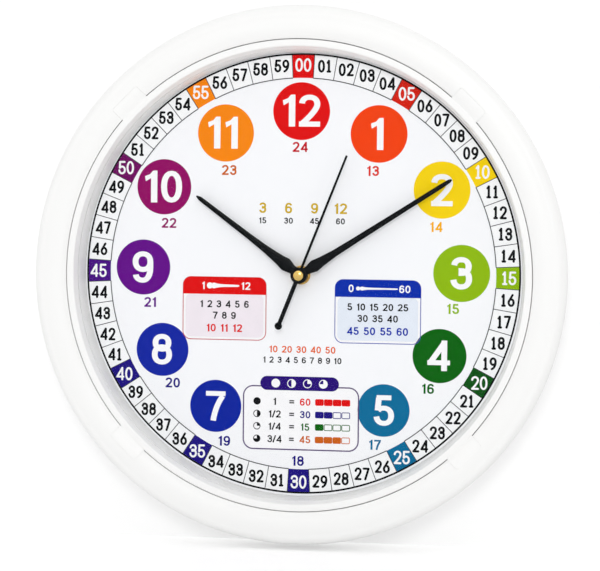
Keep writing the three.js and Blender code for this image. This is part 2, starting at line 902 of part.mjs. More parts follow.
function hexNut() {
  const corners = nutAcrossFlats / 2 / Math.cos(30 * degree);
  const hexagon = barrel(corners, nutBack, nutBack + nutThickness, 6);
  const chamfer = corners - nutAcrossFlats / 2;
  const cone = turned([
    [0, nutBack - overrun],
    [corners, nutBack - overrun],
    [corners, nutBack + nutThickness - chamfer],
    [nutAcrossFlats / 2, nutBack + nutThickness],
    [0, nutBack + nutThickness],
  ]);
  return cut(hexagon.intersect(cone), bushingHole(nutBack, nutBack + nutThickness));
}

// Gear train. Each function draws one moulding about its own arbor, which is then moved to its place.

const toIntermediate = directionTo(rotorSpot, intermediateSpot);
const toSecond = directionTo(intermediateSpot, axis);
const toThird = directionTo(axis, thirdSpot);
const toCentre = directionTo(thirdSpot, axis);
const toMinute = directionTo(axis, minuteSpot);
const toHour = directionTo(minuteSpot, axis);
const toSetting = directionTo(minuteSpot, settingSpot);

function pivotedArbor(radius, back, front) {
  return join(
    pin(radius, back, front),
    pin(pivotRadius, gearPlateBack + seat, back + seat),
    pin(pivotRadius, front - seat, front + pivotLength),
  );
}

function rotorPinion() {
  const pinionFront = intermediateFront + meshOverlap;
  const front = magnetBack + magnetLength + meshOverlap;
  return join(
    toothed(rotorTeeth, rotorModule, 0, intermediateBack - meshOverlap, pinionFront),
    pivotedArbor(arborRadius, gearPlateFront + meshOverlap, front),
  );
}

function pressHole(back, front) {
  return pin(boreFor(arborRadius, pinSides, pressGap), back - overrun, front + overrun);
}

function rotorMagnet() {
  const body = barrel(magnetRadius, magnetBack, magnetBack + magnetLength);
  return cut(body, pressHole(magnetBack, magnetBack + magnetLength));
}

function intermediateWheel() {
  const wheelPhase = meshPhase(rotorTeeth, 0, intermediateTeeth, toIntermediate);
  const front = secondWheelFront + meshOverlap;
  return join(
    toothed(intermediateTeeth, rotorModule, wheelPhase, intermediateBack, intermediateFront),
    toothed(intermediatePinionTeeth, secondModule, 0, intermediateFront - seat, front),
    pivotedArbor(arborRadius, gearPlateFront + meshOverlap, front),
  );
}

function secondWheel() {
  const wheelPhase = meshPhase(intermediatePinionTeeth, 0, secondTeeth, toSecond);
  const hub = pin(2 * arborRadius, gearPlateFront + meshOverlap, secondWheelFront);
  const whole = join(
    toothed(secondTeeth, secondModule, wheelPhase, secondWheelBack, secondWheelFront),
    toothed(secondPinionTeeth, thirdModule, 0, secondWheelFront - seat, thirdWheelFront + meshOverlap),
    hub,
  );
  return cut(whole, pressHole(gearPlateFront, thirdWheelFront));
}

function secondArbor() {
  return pin(arborRadius, gearPlateBack + seat, capBack - 2 * seat);
}

function thirdWheel() {
  const wheelPhase = meshPhase(secondPinionTeeth, 0, thirdTeeth, toThird);
  const front = centreWheelFront + meshOverlap;
  return join(
    toothed(thirdTeeth, thirdModule, wheelPhase, thirdWheelBack, thirdWheelFront),
    toothed(thirdPinionTeeth, centreModule, 0, thirdWheelFront - seat, front),
    pivotedArbor(arborRadius, gearPlateFront + meshOverlap, front),
  );
}

// Four windows between the spokes lighten the centre wheel.
function centreWheel() {
  const phase = meshPhase(thirdPinionTeeth, 0, centreTeeth, toCentre);
  const rim = centreTip - 3 * centreModule - wheelThickness;
  const hub = minuteTubeRadius + 2 * clutchRoom;
  const spoke = wheelThickness;
  const ring = sleeve(hub, rim, centreWheelBack - overrun, centreWheelFront + overrun);
  const bar = block(-rim, rim, -spoke, spoke, centreWheelBack - 2 * overrun, centreWheelFront + 2 * overrun);
  const windows = cut(ring, bar, bar.rotate([0, 0, 90]));
  const hole = barrel(boreFor(minuteTubeRadius), centreWheelBack - overrun, centreWheelFront + overrun);
  return cut(toothed(centreTeeth, centreModule, phase, centreWheelBack, centreWheelFront), windows, hole);
}

function minuteTube() {
  const back = centreWheelBack - 3 * seat;
  const front = minuteHandBack + handThickness + seat;
  const whole = join(
    barrel(minuteTubeRadius, back, front),
    barrel(minuteTubeRadius + clutchRoom / 2, back, centreWheelBack - seat),
    toothed(cannonTeeth, cannonModule, 0, minuteWheelBack - meshOverlap, minuteWheelFront + meshOverlap),
  );
  return cut(whole, pinHole(arborRadius, back, front));
}

// A three-armed spring washer that presses the centre wheel against the tube's flange.
function clutchSpring() {
  const back = centreWheelFront + seat;
  const front = minuteWheelBack - meshOverlap - seat;
  const hub = boreFor(minuteTubeRadius, shaftSides, pressGap);
  const arms = shares(3).slice(1).map((share) => {
    const arm = block(hub, clutchRadius, -wheelThickness, wheelThickness, back, front);
    return arm.rotate([0, 0, 360 * share]);
  });
  const middle = barrel(minuteTubeRadius + clutchRoom / 2, back, front);
  return cut(join(middle, ...arms), barrel(hub, back - overrun, front + overrun));
}

function minuteWheel() {
  const wheelPhase = meshPhase(cannonTeeth, 0, minuteTeeth, toMinute);
  const front = hourWheelFront + meshOverlap;
  const whole = join(
    toothed(minuteTeeth, cannonModule, wheelPhase, minuteWheelBack, minuteWheelFront),
    toothed(minutePinionTeeth, hourModule, 0, minuteWheelFront - seat, front),
  );
  return cut(whole, pinHole(arborRadius, minuteWheelBack, front));
}

function hourWheel() {
  const phase = meshPhase(minutePinionTeeth, 0, hourTeeth, toHour);
  const back = hourWheelFront - wheelThickness;
  const front = hourHandBack + handThickness + seat;
  const whole = join(
    toothed(hourTeeth, hourModule, phase, back, hourWheelFront),
    barrel(hourTubeRadius, back, front),
  );
  return cut(whole, barrel(boreFor(minuteTubeRadius), back - overrun, front + overrun));
}

// Knob, arbor and pinion of the hand setting are one moulding.
function settingKnob() {
  const minutePhase = meshPhase(cannonTeeth, 0, minuteTeeth, toMinute);
  const phase = meshPhase(minuteTeeth, minutePhase, cannonTeeth, toSetting);
  const front = wallGap - knobInset;
  const ridge = (fullTurn * knobRadius) / knobRidges / 4;
  const rim = Array.from({ length: 2 * knobRidges }, (_, step) => {
    const radius = knobRadius - (step % 2) * ridge;
    const angle = (step * Math.PI) / knobRidges;
    return [radius * Math.cos(angle), radius * Math.sin(angle)];
  });
  return join(
    prism(outlineShape(rim), front - knobThickness, front),
    pin(arborRadius, front - seat, minuteWheelFront + meshOverlap),
    pin(pivotRadius, minuteWheelFront, minuteWheelFront + pivotLength),
    toothed(cannonTeeth, cannonModule, phase, minuteWheelBack - meshOverlap, minuteWheelFront + meshOverlap),
  );
}

// Hands. Each points up the dial when it is drawn, and is turned to its place afterwards.

// A blade with a roof-shaped section: a flat back, two low edges and a ridge along the middle.
function ridgedBlade(length, halfWidth, stationShares, back) {
  const stations = stationShares.map(([along, width]) => {
    const y = along * length;
    const x = width * halfWidth;
    const ridge = handEdge + (handThickness - handEdge) * Math.sqrt(width);
    return [
      [-x, y, back],
      [x, y, back],
      [x, y, back + handEdge],
      [0, y, back + ridge],
      [-x, y, back + handEdge],
    ];
  });
  const sides = stations[0].length;
  const faces = [];
  for (let station = 0; station + 1 < stations.length; station++) {
    for (let side = 0; side < sides; side++) {
      const here = station * sides + side;
      const beside = station * sides + ((side + 1) % sides);
      faces.push(here, here + sides, beside, beside, here + sides, beside + sides);
    }
  }
  const last = (stations.length - 1) * sides;
  for (let side = 1; side + 1 < sides; side++) {
    faces.push(0, side, side + 1, last, last + side + 1, last + side);
  }
  const geometry = new THREE.BufferGeometry();
  geometry.setAttribute("position", new THREE.Float32BufferAttribute(stations.flat(2), 3));
  geometry.setIndex(faces);
  return solid(geometry);
}

function hubbedBlade(length, halfWidth, stationShares, hubRadius, tubeRadius, back) {
  const hole = boreFor(tubeRadius, shaftSides, pressGap);
  const hub = barrel(hubRadius, back, back + handThickness, discSides);
  const blade = ridgedBlade(length, halfWidth, stationShares, back);
  return cut(join(hub, blade), barrel(hole, back - overrun, back + handThickness + overrun));
}

function hourHand() {
  const shape = [hourHandLength, hourHandHalfWidth, hourHandShares];
  return hubbedBlade(...shape, hourHubRadius, hourTubeRadius, hourHandBack);
}

function minuteHand() {
  const shape = [minuteHandLength, minuteHandHalfWidth, minuteHandShares];
  return hubbedBlade(...shape, minuteHubRadius, minuteTubeRadius, minuteHandBack);
}

function secondHand() {
  const tipShare = 0.7;
  const back = secondHandBack + (handThickness - secondBladeThickness) / 2;
  const blade = outlineShape([
    [-secondHandHalfWidth, 0],
    [secondHandHalfWidth, 0],
    [secondHandHalfWidth * tipShare, secondHandLength],
    [-secondHandHalfWidth * tipShare, secondHandLength],
  ]);
  const front = back + secondBladeThickness;
  const tail = block(-secondTailHalfWidth, secondTailHalfWidth, -secondTailLength, 0, back, front);
  const ball = barrel(secondBallRadius, back, front).translate([0, -secondTailLength, 0]);
  const hub = barrel(secondHubRadius, secondHandBack, secondHandBack + handThickness, discSides);
  return cut(join(hub, prism(blade, back, front), tail, ball), pressHole(secondHandBack, capBack));
}

function secondHandCap() {
  const dome = shares(arcSteps).map((share) => {
    const angle = (share * Math.PI) / 2;
    return [capRadius * Math.cos(angle), capBack + capHeight / 3 + ((capHeight * 2) / 3) * Math.sin(angle)];
  });
  return turned([[0, capBack], [capRadius, capBack], ...dome.slice(0, -1), [0, capBack + capHeight]]);
}

// Materials

function finish(color, roughness, metalness = 0) {
  return new THREE.MeshStandardMaterial({ color, roughness, metalness });
}

const whitePlastic = () => finish(0xf7f7f5, 0.3);
const blackGloss = () => finish(0x0b0b0c, 0.25);
const greyPlastic = () => finish(0x2b2c2f, 0.55);
const naturalPlastic = () => finish(0xe9e4d6, 0.5);
const clearPlastic = () => finish(0xf4f8fb, 0.05);
const dialPaper = () => finish(0xf5f6fb, 0.6);
const brass = () => finish(0xc9a24a, 0.3, 1);
const steel = () => finish(0xa9abae, 0.35, 1);
const copper = () => finish(0xb06a35, 0.4, 1);
const rubber = () => finish(0x1a1a1a, 0.9);
const boardGreen = () => finish(0x1f5a36, 0.6);
const cellWrap = () => finish(0x3a4048, 0.35);

// Assembly

function mesh(name, body, material, spot = axis, turn = 0) {
  const data = body.getMesh();
  const geometry = new THREE.BufferGeometry();
  geometry.setAttribute("position", new THREE.BufferAttribute(data.vertProperties, data.numProp));
  geometry.setIndex(new THREE.BufferAttribute(data.triVerts, 1));
  const made = new THREE.Mesh(geometry, material);
  made.name = name;
  made.position.set(spot.x, spot.y, 0);
  made.rotation.z = turn;
  return made;
}

function group(...children) {
  return new THREE.Group().add(...children);
}

const housing = group(
  mesh("case_shell", caseShell(), whitePlastic()),
  mesh("dial_plate", dialPlate(), whitePlastic()),
  mesh("wall_hanger", wallHanger(), steel()),
  mesh("lens_ring", lensRing(), whitePlastic()),
  mesh("front_lens", frontLens(), clearPlastic()),
  mesh("dial_sheet", dialSheet(), dialPaper()),
);

const movement = group(
  mesh("movement_case", movementCase(), greyPlastic()),
  mesh("movement_cover", movementCover(), greyPlastic()),
  mesh("gear_plate", gearPlate(), naturalPlastic()),
  mesh("circuit_board", circuitBoard(), boardGreen()),
  mesh("quartz_crystal", crystal(), steel()),
  mesh("battery_cell", batteryCell(), cellWrap()),
  mesh("positive_contact", positiveContact(), steel()),
  mesh("negative_contact", negativeContact(), steel()),
  mesh("stator", stator(), steel()),
  mesh("coil_core", coilCore(), steel()),
  mesh("coil_bobbin", coilBobbin(), naturalPlastic()),
  mesh("coil_winding", coilWinding(), copper()),
);

const fixing = group(
  mesh("rubber_washer", rubberWasher(), rubber()),
  mesh("threaded_bushing", threadedBushing(), brass()),
  mesh("brass_washer", brassWasher(), brass()),
  mesh("hex_nut", hexNut(), brass()),
);

const train = group(
  mesh("rotor_pinion", rotorPinion(), naturalPlastic(), rotorSpot),
  mesh("rotor_magnet", rotorMagnet(), steel(), rotorSpot),
  mesh("intermediate_wheel", intermediateWheel(), naturalPlastic(), intermediateSpot),
  mesh("second_wheel", secondWheel(), naturalPlastic()),
  mesh("second_arbor", secondArbor(), steel()),
  mesh("third_wheel", thirdWheel(), naturalPlastic(), thirdSpot),
  mesh("centre_wheel", centreWheel(), naturalPlastic()),
  mesh("clutch_spring", clutchSpring(), steel()),
  mesh("minute_tube", minuteTube(), brass()),
  mesh("minute_wheel", minuteWheel(), naturalPlastic(), minuteSpot),
  mesh("hour_wheel", hourWheel(), naturalPlastic()),
  mesh("setting_knob", settingKnob(), naturalPlastic(), settingSpot),
);

const hands = group(
  mesh("hour_hand", hourHand(), blackGloss(), axis, -hourHandAngle * degree),
  mesh("minute_hand", minuteHand(), blackGloss(), axis, -minuteHandAngle * degree),
  mesh("second_hand", secondHand(), blackGloss(), axis, -secondHandAngle * degree),
  mesh("second_hand_cap", secondHandCap(), brass()),
);

// The clock hangs with its wall hook at the origin, and its dial's z is then the row's -y.
const clock = group(housing, movement, fixing, train, hands);
clock.position.y = -hookHeight;
const hung = group(clock);
hung.rotation.x = Math.PI / 2;

export default hung;
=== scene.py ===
# Dresses the teaching wall clock: a fine case, lens ring, lens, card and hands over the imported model,
# the printed dial, and a finish for every other part. Lengths are in millimetres in the dial's frame:
# x to the right, y up the dial, z out of the wall to the reader, with the hands' axis at the origin.
import math
from collections import namedtuple

import bmesh
import bpy
from mathutils import Matrix, Vector


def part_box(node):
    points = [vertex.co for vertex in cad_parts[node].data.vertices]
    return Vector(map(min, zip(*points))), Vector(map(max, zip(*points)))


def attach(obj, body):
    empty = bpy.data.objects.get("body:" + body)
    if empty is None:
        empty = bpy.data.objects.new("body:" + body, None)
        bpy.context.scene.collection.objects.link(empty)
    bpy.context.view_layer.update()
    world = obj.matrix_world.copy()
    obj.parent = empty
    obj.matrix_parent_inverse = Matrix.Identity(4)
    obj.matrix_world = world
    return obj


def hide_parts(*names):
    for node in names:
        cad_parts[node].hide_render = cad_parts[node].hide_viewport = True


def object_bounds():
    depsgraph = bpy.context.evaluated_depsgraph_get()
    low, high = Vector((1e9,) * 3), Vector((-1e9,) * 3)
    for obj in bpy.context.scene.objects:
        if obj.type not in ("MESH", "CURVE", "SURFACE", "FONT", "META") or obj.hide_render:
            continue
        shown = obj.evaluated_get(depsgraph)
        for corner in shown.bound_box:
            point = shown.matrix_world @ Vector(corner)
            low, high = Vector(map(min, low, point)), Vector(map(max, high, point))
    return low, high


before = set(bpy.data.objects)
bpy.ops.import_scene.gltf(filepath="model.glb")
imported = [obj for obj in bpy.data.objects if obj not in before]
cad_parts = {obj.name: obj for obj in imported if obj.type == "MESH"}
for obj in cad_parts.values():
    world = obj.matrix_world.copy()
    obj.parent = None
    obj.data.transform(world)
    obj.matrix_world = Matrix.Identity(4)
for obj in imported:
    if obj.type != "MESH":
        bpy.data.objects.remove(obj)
cad_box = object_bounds()

# Units and fineness
METRE = 0.001
RING_SIDES = 240
DISC_SIDES = 64
ARC_STEPS = 12
CORNER_STEPS = 4
GLYPH_STEPS = 20
SHARP_ANGLE = 32
CORNER_ANGLE = 20
CORNER_SHARE = 0.45
BEVEL_ANGLE = 40
FLAT_BEVEL_ANGLE = 50
BEVEL_SEGMENTS = 2
OVERRUN = 1

# Case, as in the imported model
HOOK_HEIGHT = 124
CASE_RADIUS = 152.5
SIDE_TAPER = 8.7
CASE_WALL = 2.2
CASE_FILLET = 5.5
CREST_FALL_INSIDE = 2
CREST_FALL_OUTSIDE = 0.9
CREST_SHARE = 0.53
SEAM_WIDTH = 0.5
SEAT = 0.1
PLATE_THICKNESS = 1.9
RIB_COUNT = 8
RIB_THICKNESS = 1.8
RIB_DEPTH = 5
RING_RIB_SHARE = 0.6
FRAME_DEPTH = 6
FRAME_CLEARANCE = 0.4
MOVEMENT_HALF = 28
MOVEMENT_CORNER = 3

# Lens ring and lens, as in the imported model
BEZEL_WIDTH = 22.7
LENS_LEDGE = 2.1
LENS_PLAY = 0.6
RING_RISE = 4.5
RING_LIP_WIDTH = 3.5
RING_SKIRT = 3.4
LIP_ROUNDING = 1
TAB_WIDTH = 19.5
TAB_REACH = 7.5
TAB_THICKNESS = 2
TAB_CORNER = 1.5
TAB_ANGLES = (45, 135, 225, 315)

# Dial and fixing
DIAL_INSET = 3.5
HOLE_RADIUS = 4.1
WASHER_RADIUS = 5.4
NUT_FLATS = 9.2
NUT_SIDES = 6

# Hands
HAND_THICKNESS = 0.9
HAND_EDGE = 0.35
HOUR_HAND_LENGTH = 75
HOUR_HAND_HALF_WIDTH = 3.9
HOUR_HUB_RADIUS = 4.3
HOUR_HOLE_RADIUS = 2.55
HOUR_HAND_ANGLE = 306.3
MINUTE_HAND_LENGTH = 102.5
MINUTE_HAND_HALF_WIDTH = 3.5
MINUTE_HUB_RADIUS = 3.9
MINUTE_HOLE_RADIUS = 1.65
MINUTE_HAND_ANGLE = 57.4
SECOND_HAND_LENGTH = 73.3
SECOND_HAND_HALF_WIDTH = 0.75
SECOND_HAND_ANGLE = 21.6
SECOND_TIP_SHARE = 0.82
SECOND_TAIL_LENGTH = 31
SECOND_TAIL_HALF_WIDTH = 1.2
SECOND_BALL_RADIUS = 2.15
SECOND_HUB_RADIUS = 4.65
SECOND_HOLE_RADIUS = 0.48
SECOND_BLADE_THICKNESS = 0.35
CAP_RADIUS = 2.9
CAP_RIM_SHARE = 1 / 3
BLADE_STATIONS = 48
EDGE_SHARE = 0.82

# Edges of the fine shapes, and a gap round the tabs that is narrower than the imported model's
MOULD_EDGE = 0.35
CRISP_EDGE = 0.12
LENS_EDGE = 0.25
PAPER_EDGE = 0.04
CELL_EDGE = 0.8
TAB_GAP = 0.06

# Battery cell and the screws in the feet of the hanger
CELL_NUB_RADIUS = 2.75
CELL_NUB_LENGTH = 1
CELL_CAP_LENGTH = 12
HANGER_THICKNESS = 1.4
SCREW_RADIUS = 1.9
SCREW_HEIGHT = 1.1
SCREW_SLOT = 0.5
SCREW_SPOTS = ((-16.2, 112.5), (-16.2, 123), (16.2, 112.5), (16.2, 123))

# Half widths along the ridged hands, as shares of the length and of the widest half width
HOUR_HAND_SHARES = (
    (0, 0.6), (0.076, 0.68), (0.107, 0.85), (0.137, 1), (0.19, 0.8), (0.26, 0.655),
    (0.35, 0.53), (0.5, 0.43), (0.9, 0.335), (0.965, 0.31), (1, 0.1),
)
MINUTE_HAND_SHARES = (
    (0, 0.58), (0.056, 0.66), (0.078, 0.85), (0.1, 1), (0.145, 0.79), (0.19, 0.67),
    (0.24, 0.565), (0.39, 0.485), (0.7, 0.4), (0.93, 0.37), (0.985, 0.3), (1, 0.12),
)

# Printed dial
INK_STEP = 0.04
STROKE_STEP = 0.004
RING_OUTER = 124.55
RING_INNER = 111.55
RING_MIDDLE = 118.85
OUTER_LINE = 1
INNER_LINE = 0.52
CELL_LINE = 0.4
MINUTES = 60
BRIGHT_EVERY = 5
MINUTE_SIZE = 7.3
BRIGHT_MINUTE_SIZE = 7.7
LABEL_SIZE = 5.7
LABEL_SHIFT = (-0.1, 0.3)
PRINT_SHIFT = (-0.1, 0.45)
RING_TURN = 0.12

# Hour discs: hour, place, diameter, ink, height of the numeral, its place from the disc's middle
HOUR_DISCS = (
    ("12", (-0.5, 92.7), 32.8, "red", 18.1, (-0.4, 0.3)),
    ("1", (44.1, 80.1), 32.5, "vermilion", 18.1, (-1.2, 0)),
    ("2", (80.3, 48.8), 32.2, "yellow", 18.1, (0, 0)),
    ("3", (92.0, 2.0), 32.2, "lime", 18.3, (-0.2, 0.1)),
    ("4", (80.0, -44.9), 30.7, "green", 17.3, (-0.4, 0.2)),
    ("5", (48.4, -76.6), 29.9, "teal", 17.4, (0.2, 0)),
    ("7", (-49.0, -76.5), 30.0, "blue", 17.0, (0, 0)),
    ("8", (-80.6, -44.7), 30.6, "indigo", 17.7, (-0.3, 0.1)),
    ("9", (-92.2, 2.6), 31.7, "violet", 18.1, (-0.3, 0)),
    ("10", (-80.2, 48.9), 31.7, "plum", 18.3, (-0.8, 0.1)),
    ("11", (-44.3, 80.0), 32.6, "orange", 18.2, (-1.9, 0.2)),
)

# Afternoon hours: number, place, ink
DAY_LABELS = (
    ("24", (-1.0, 72.1), "crimson"),
    ("13", (40.9, 58.9), "brick"),
    ("14", (77.3, 27.7), "golden"),
    ("15", (87.4, -18.4), "lime"),
    ("16", (73.7, -63.9), "green"),
    ("17", (43.7, -96.6), "teal"),
    ("18", (-0.7, -107.1), "midnight"),
    ("19", (-43.8, -96.8), "midnight"),
    ("20", (-74.3, -64.0), "midnight"),
    ("21", (-87.9, -17.8), "violet"),
    ("22", (-77.2, 27.9), "plum"),
    ("23", (-42.1, 58.6), "amber"),
)

# Coloured cells of the minute ring, every fifth one from the top
CELL_INKS = (
    "red", "scarlet", "yellow", "lime", "darkgreen", "teal",
    "midnight", "midnight", "midnight", "purple", "magenta", "orange",
)

# Inks as screen colours
INKS = {
    "red": (226, 6, 6),
    "scarlet": (214, 30, 8),
    "vermilion": (245, 66, 4),
    "orange": (250, 136, 8),
    "orangered": (232, 98, 38),
    "amber": (206, 98, 22),
    "brick": (222, 48, 36),
    "yellow": (250, 214, 6),
    "golden": (250, 178, 20),
    "lime": (144, 187, 6),
    "green": (3, 98, 4),
    "darkgreen": (8, 82, 14),
    "teal": (5, 108, 154),
    "blue": (4, 34, 158),
    "royal": (2, 44, 170),
    "indigo": (14, 36, 162),
    "midnight": (30, 16, 128),
    "violet": (100, 4, 137),
    "purple": (74, 12, 132),
    "plum": (146, 5, 98),
    "magenta": (112, 8, 96),
    "crimson": (196, 14, 34),
    "pill": (40, 8, 118),
    "frameline": (92, 74, 118),
    "gold": (206, 172, 34),
    "black": (10, 10, 12),
    "grey": (60, 62, 66),
    "white": (252, 252, 254),
    "blush": (243, 235, 242),
    "mist": (231, 238, 249),
    "cell": (252, 253, 255),
    "redline": (196, 62, 74),
    "blueline": (72, 88, 178),
}

# Camera, fitted to the photograph
AZIMUTH = 10.3
ELEVATION = 2.5
ROLL = 0.55
CAMERA_DISTANCE = 1480
AIM_BELOW = 5.96
AIM_LEFT = 0.62
LENS_LENGTH = 155.9
SENSOR_WIDTH = 36

# Room
FLOOR_REACH = 1800
FLOOR_DROP = 3
FLOOR_WHITE = (235, 235, 235)
FLOOR_GLOW = 0.25
BACKDROP_GAP = 1
BACKDROP_WHITE = (215, 215, 215)
BACKDROP_GLOW = 0.32
SKY_FRONT = 0.685
SKY_BACK = 1.02
SKY_TURN = 0.3

# Lamps: name, place, diameter, power
LAMPS = (
    ("key", (420, 950, 3100), 800, 21.5),
    ("overhead", (300, 3000, 2000), 3600, 14.5),
    ("fill", (-1000, -1800, 2400), 3500, 16.5),
)


# Heights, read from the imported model
def back_of(node):
    return -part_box(node)[1].y / METRE


def front_of(node):
    return -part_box(node)[0].y / METRE


plate_front = front_of("dial_plate")
plate_back = plate_front - PLATE_THICKNESS
dial_front = front_of("dial_sheet")
lens_back = back_of("front_lens")
lens_front = front_of("front_lens")
case_depth = front_of("case_shell")
seam_height = lens_front + RING_RISE
rebate_height = seam_height - RING_SKIRT

# Radii, from the side of the case inwards
lens_radius = CASE_RADIUS - BEZEL_WIDTH
dial_radius = lens_radius - DIAL_INSET
shoulder_radius = lens_radius + LENS_PLAY
case_seam_radius = shoulder_radius + RING_LIP_WIDTH - SEAM_WIDTH / 2
ring_radius = case_seam_radius - SEAM_WIDTH
seam_radius = case_seam_radius - SEAM_WIDTH / 2
fillet_start = CASE_RADIUS - CASE_FILLET
crest_radius = seam_radius + (fillet_start - seam_radius) * CREST_SHARE
ledge_radius = lens_radius - LENS_LEDGE
floor_radius = dial_radius + 3 * SEAT
plate_radius = floor_radius + CASE_WALL
ring_rib_radius = plate_radius * RING_RIB_SHARE
side_top = case_depth - CREST_FALL_OUTSIDE - CASE_FILLET
case_back_radius = CASE_RADIUS - SIDE_TAPER


def place(point):
    """A point of the dial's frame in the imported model's frame, in metres."""
    x, y, z = point
    return Vector((x, -z, y - HOOK_HEIGHT)) * METRE


def shares(count):
    return [step / count for step in range(count + 1)]


def clock_spot(radius, angle):
    """A place on the dial, by its angle clockwise from the top."""
    turn = math.radians(angle)
    return (radius * math.sin(turn), radius * math.cos(turn))


def arc(centre, reach, start, end, square=1, steps=GLYPH_STEPS):
    """Points on an oval between two angles from the right, squared off a little where square is below 1."""
    points = []
    for share in shares(steps):
        turn = math.radians(start + (end - start) * share)
        across, up = math.cos(turn), math.sin(turn)
        points.append((
            centre[0] + reach[0] * math.copysign(abs(across) ** square, across),
            centre[1] + reach[1] * math.copysign(abs(up) ** square, up),
        ))
    return points


def curve(start, control, end, steps=CORNER_STEPS * 2):
    first, middle, last = Vector(start), Vector(control), Vector(end)
    points = [first * (1 - s) ** 2 + middle * (2 * s * (1 - s)) + last * s ** 2 for s in shares(steps)]
    return [tuple(point) for point in points]


# Meshes. A shape is a list of points and a list of faces.

def combined(*shapes):
    points, faces = [], []
    for more_points, more_faces in shapes:
        start = len(points)
        points += list(more_points)
        faces += [[start + corner for corner in face] for face in more_faces]
    return points, faces


def turned(outline, sides=RING_SIDES):
    """Turns a closed outline of (radius, height) points about the z axis."""
    points, rows, faces = [], [], []
    for radius, height in outline:
        if radius == 0:
            rows.append([len(points)] * sides)
            points.append((0, 0, height))
            continue
        rows.append(list(range(len(points), len(points) + sides)))
        for side in range(sides):
            turn = math.tau * side / sides
            points.append((radius * math.cos(turn), radius * math.sin(turn), height))
    for here, there in zip(rows, rows[1:] + rows[:1]):
        for side in range(sides):
            after = (side + 1) % sides
            corners = (here[side], here[after], there[after], there[side])
            face = list(dict.fromkeys(corners))
            if len(face) > 2:
                faces.append(face)
    return points, faces


def softened(outline, reach):
    """The closed outline with its sharp corners rounded off."""
    corners = [Vector(point) for point in outline]
    result = []
    for index, corner in enumerate(corners):
        before = corners[index - 1] - corner
        after = corners[(index + 1) % len(corners)] - corner
        bend = math.degrees((-before).angle(after, 0))
        if corner.x == 0 or bend < CORNER_ANGLE:
            result.append(tuple(corner))
            continue
        start = corner + before.normalized() * min(reach, before.length * CORNER_SHARE)
        end = corner + after.normalized() * min(reach, after.length * CORNER_SHARE)
        result += curve(start, corner, end, CORNER_STEPS)
    return result


def prism(outline, back, front):
    count = len(outline)
    points = [(x, y, back) for x, y in outline] + [(x, y, front) for x, y in outline]
    faces = [list(range(count)), list(range(count, 2 * count))]
    for index in range(count):
        after = (index + 1) % count
        faces.append([index, after, count + after, count + index])
    return points, faces


def hollow_prism(outer, inner, back, front):
    """A prism with a hole whose outline has as many points as the outer one."""
    count = len(outer)
    points = [(x, y, z) for z in (back, front) for outline in (outer, inner) for x, y in outline]
    faces = []
    for index in range(count):
        after = (index + 1) % count
        loops = [(ring * count + index, ring * count + after) for ring in (0, 2, 3, 1)]
        for (first, last), (next_first, next_last) in zip(loops, loops[1:] + loops[:1]):
            faces.append([first, last, next_last, next_first])
    return points, faces


def rotated(shape, angle, axis="Z"):
    turn = Matrix.Rotation(math.radians(angle), 3, axis)
    points, faces = shape
    return [tuple(turn @ Vector(point)) for point in points], faces


def shifted(shape, spot):
    points, faces = shape
    return [tuple(Vector(point) + Vector(spot)) for point in points], faces


def rounded_rectangle(left, right, bottom, top, corner, steps=ARC_STEPS):
    spots = (
        (right - corner, top - corner),
        (left + corner, top - corner),
        (left + corner, bottom + corner),
        (right - corner, bottom + corner),
    )
    outline = []
    for quarter, spot in enumerate(spots):
        outline += arc(spot, (corner, corner), 90 * quarter, 90 * (quarter + 1), steps=steps)
    return outline


def linked(name, data):
    made = bpy.data.objects.new(name, data)
    bpy.context.scene.collection.objects.link(made)
    return made


def bare_object(name, shape, solid=True):
    points, faces = shape
    mesh = bpy.data.meshes.new(name)
    mesh.from_pydata([place(point) for point in points], [], faces)
    if solid:
        work = bmesh.new()
        work.from_mesh(mesh)
        bmesh.ops.recalc_face_normals(work, faces=work.faces)
        work.to_mesh(mesh)
        work.free()
    return linked(name, mesh)


def finished(made, finish, body, replaced=(), slot=None):
    """Smooths the object, gives it its finish and lets it ride on its body."""
    made.data.shade_smooth()
    made.data.set_sharp_from_angle(angle=math.radians(SHARP_ANGLE))
    made.data.materials.clear()
    made.data.materials.append(materials[finish])
    slot = slot or SLOTS.get(finish, finish)
    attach(made, body)
    if replaced:
        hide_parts(*replaced)
    return made


def piece(name, shape, finish, body, replaced=(), slot=None, solid=True):
    return finished(bare_object(name, shape, solid), finish, body, replaced, slot)


def carved(made, tool, operation):
    """Applies a boolean of the tool to the object, and removes the tool."""
    modifier = made.modifiers.new("carve", "BOOLEAN")
    modifier.object = tool
    modifier.operation = operation
    modifier.solver = "EXACT"
    graph = bpy.context.evaluated_depsgraph_get()
    mesh = bpy.data.meshes.new_from_object(made.evaluated_get(graph))
    made.modifiers.clear()
    made.data = mesh
    bpy.data.objects.remove(tool)


def bevelled(made, width, angle=BEVEL_ANGLE):
    modifier = made.modifiers.new("edge", "BEVEL")
    modifier.width = width * METRE
    modifier.segments = BEVEL_SEGMENTS
    modifier.limit_method = "ANGLE"
    modifier.angle_limit = math.radians(angle)


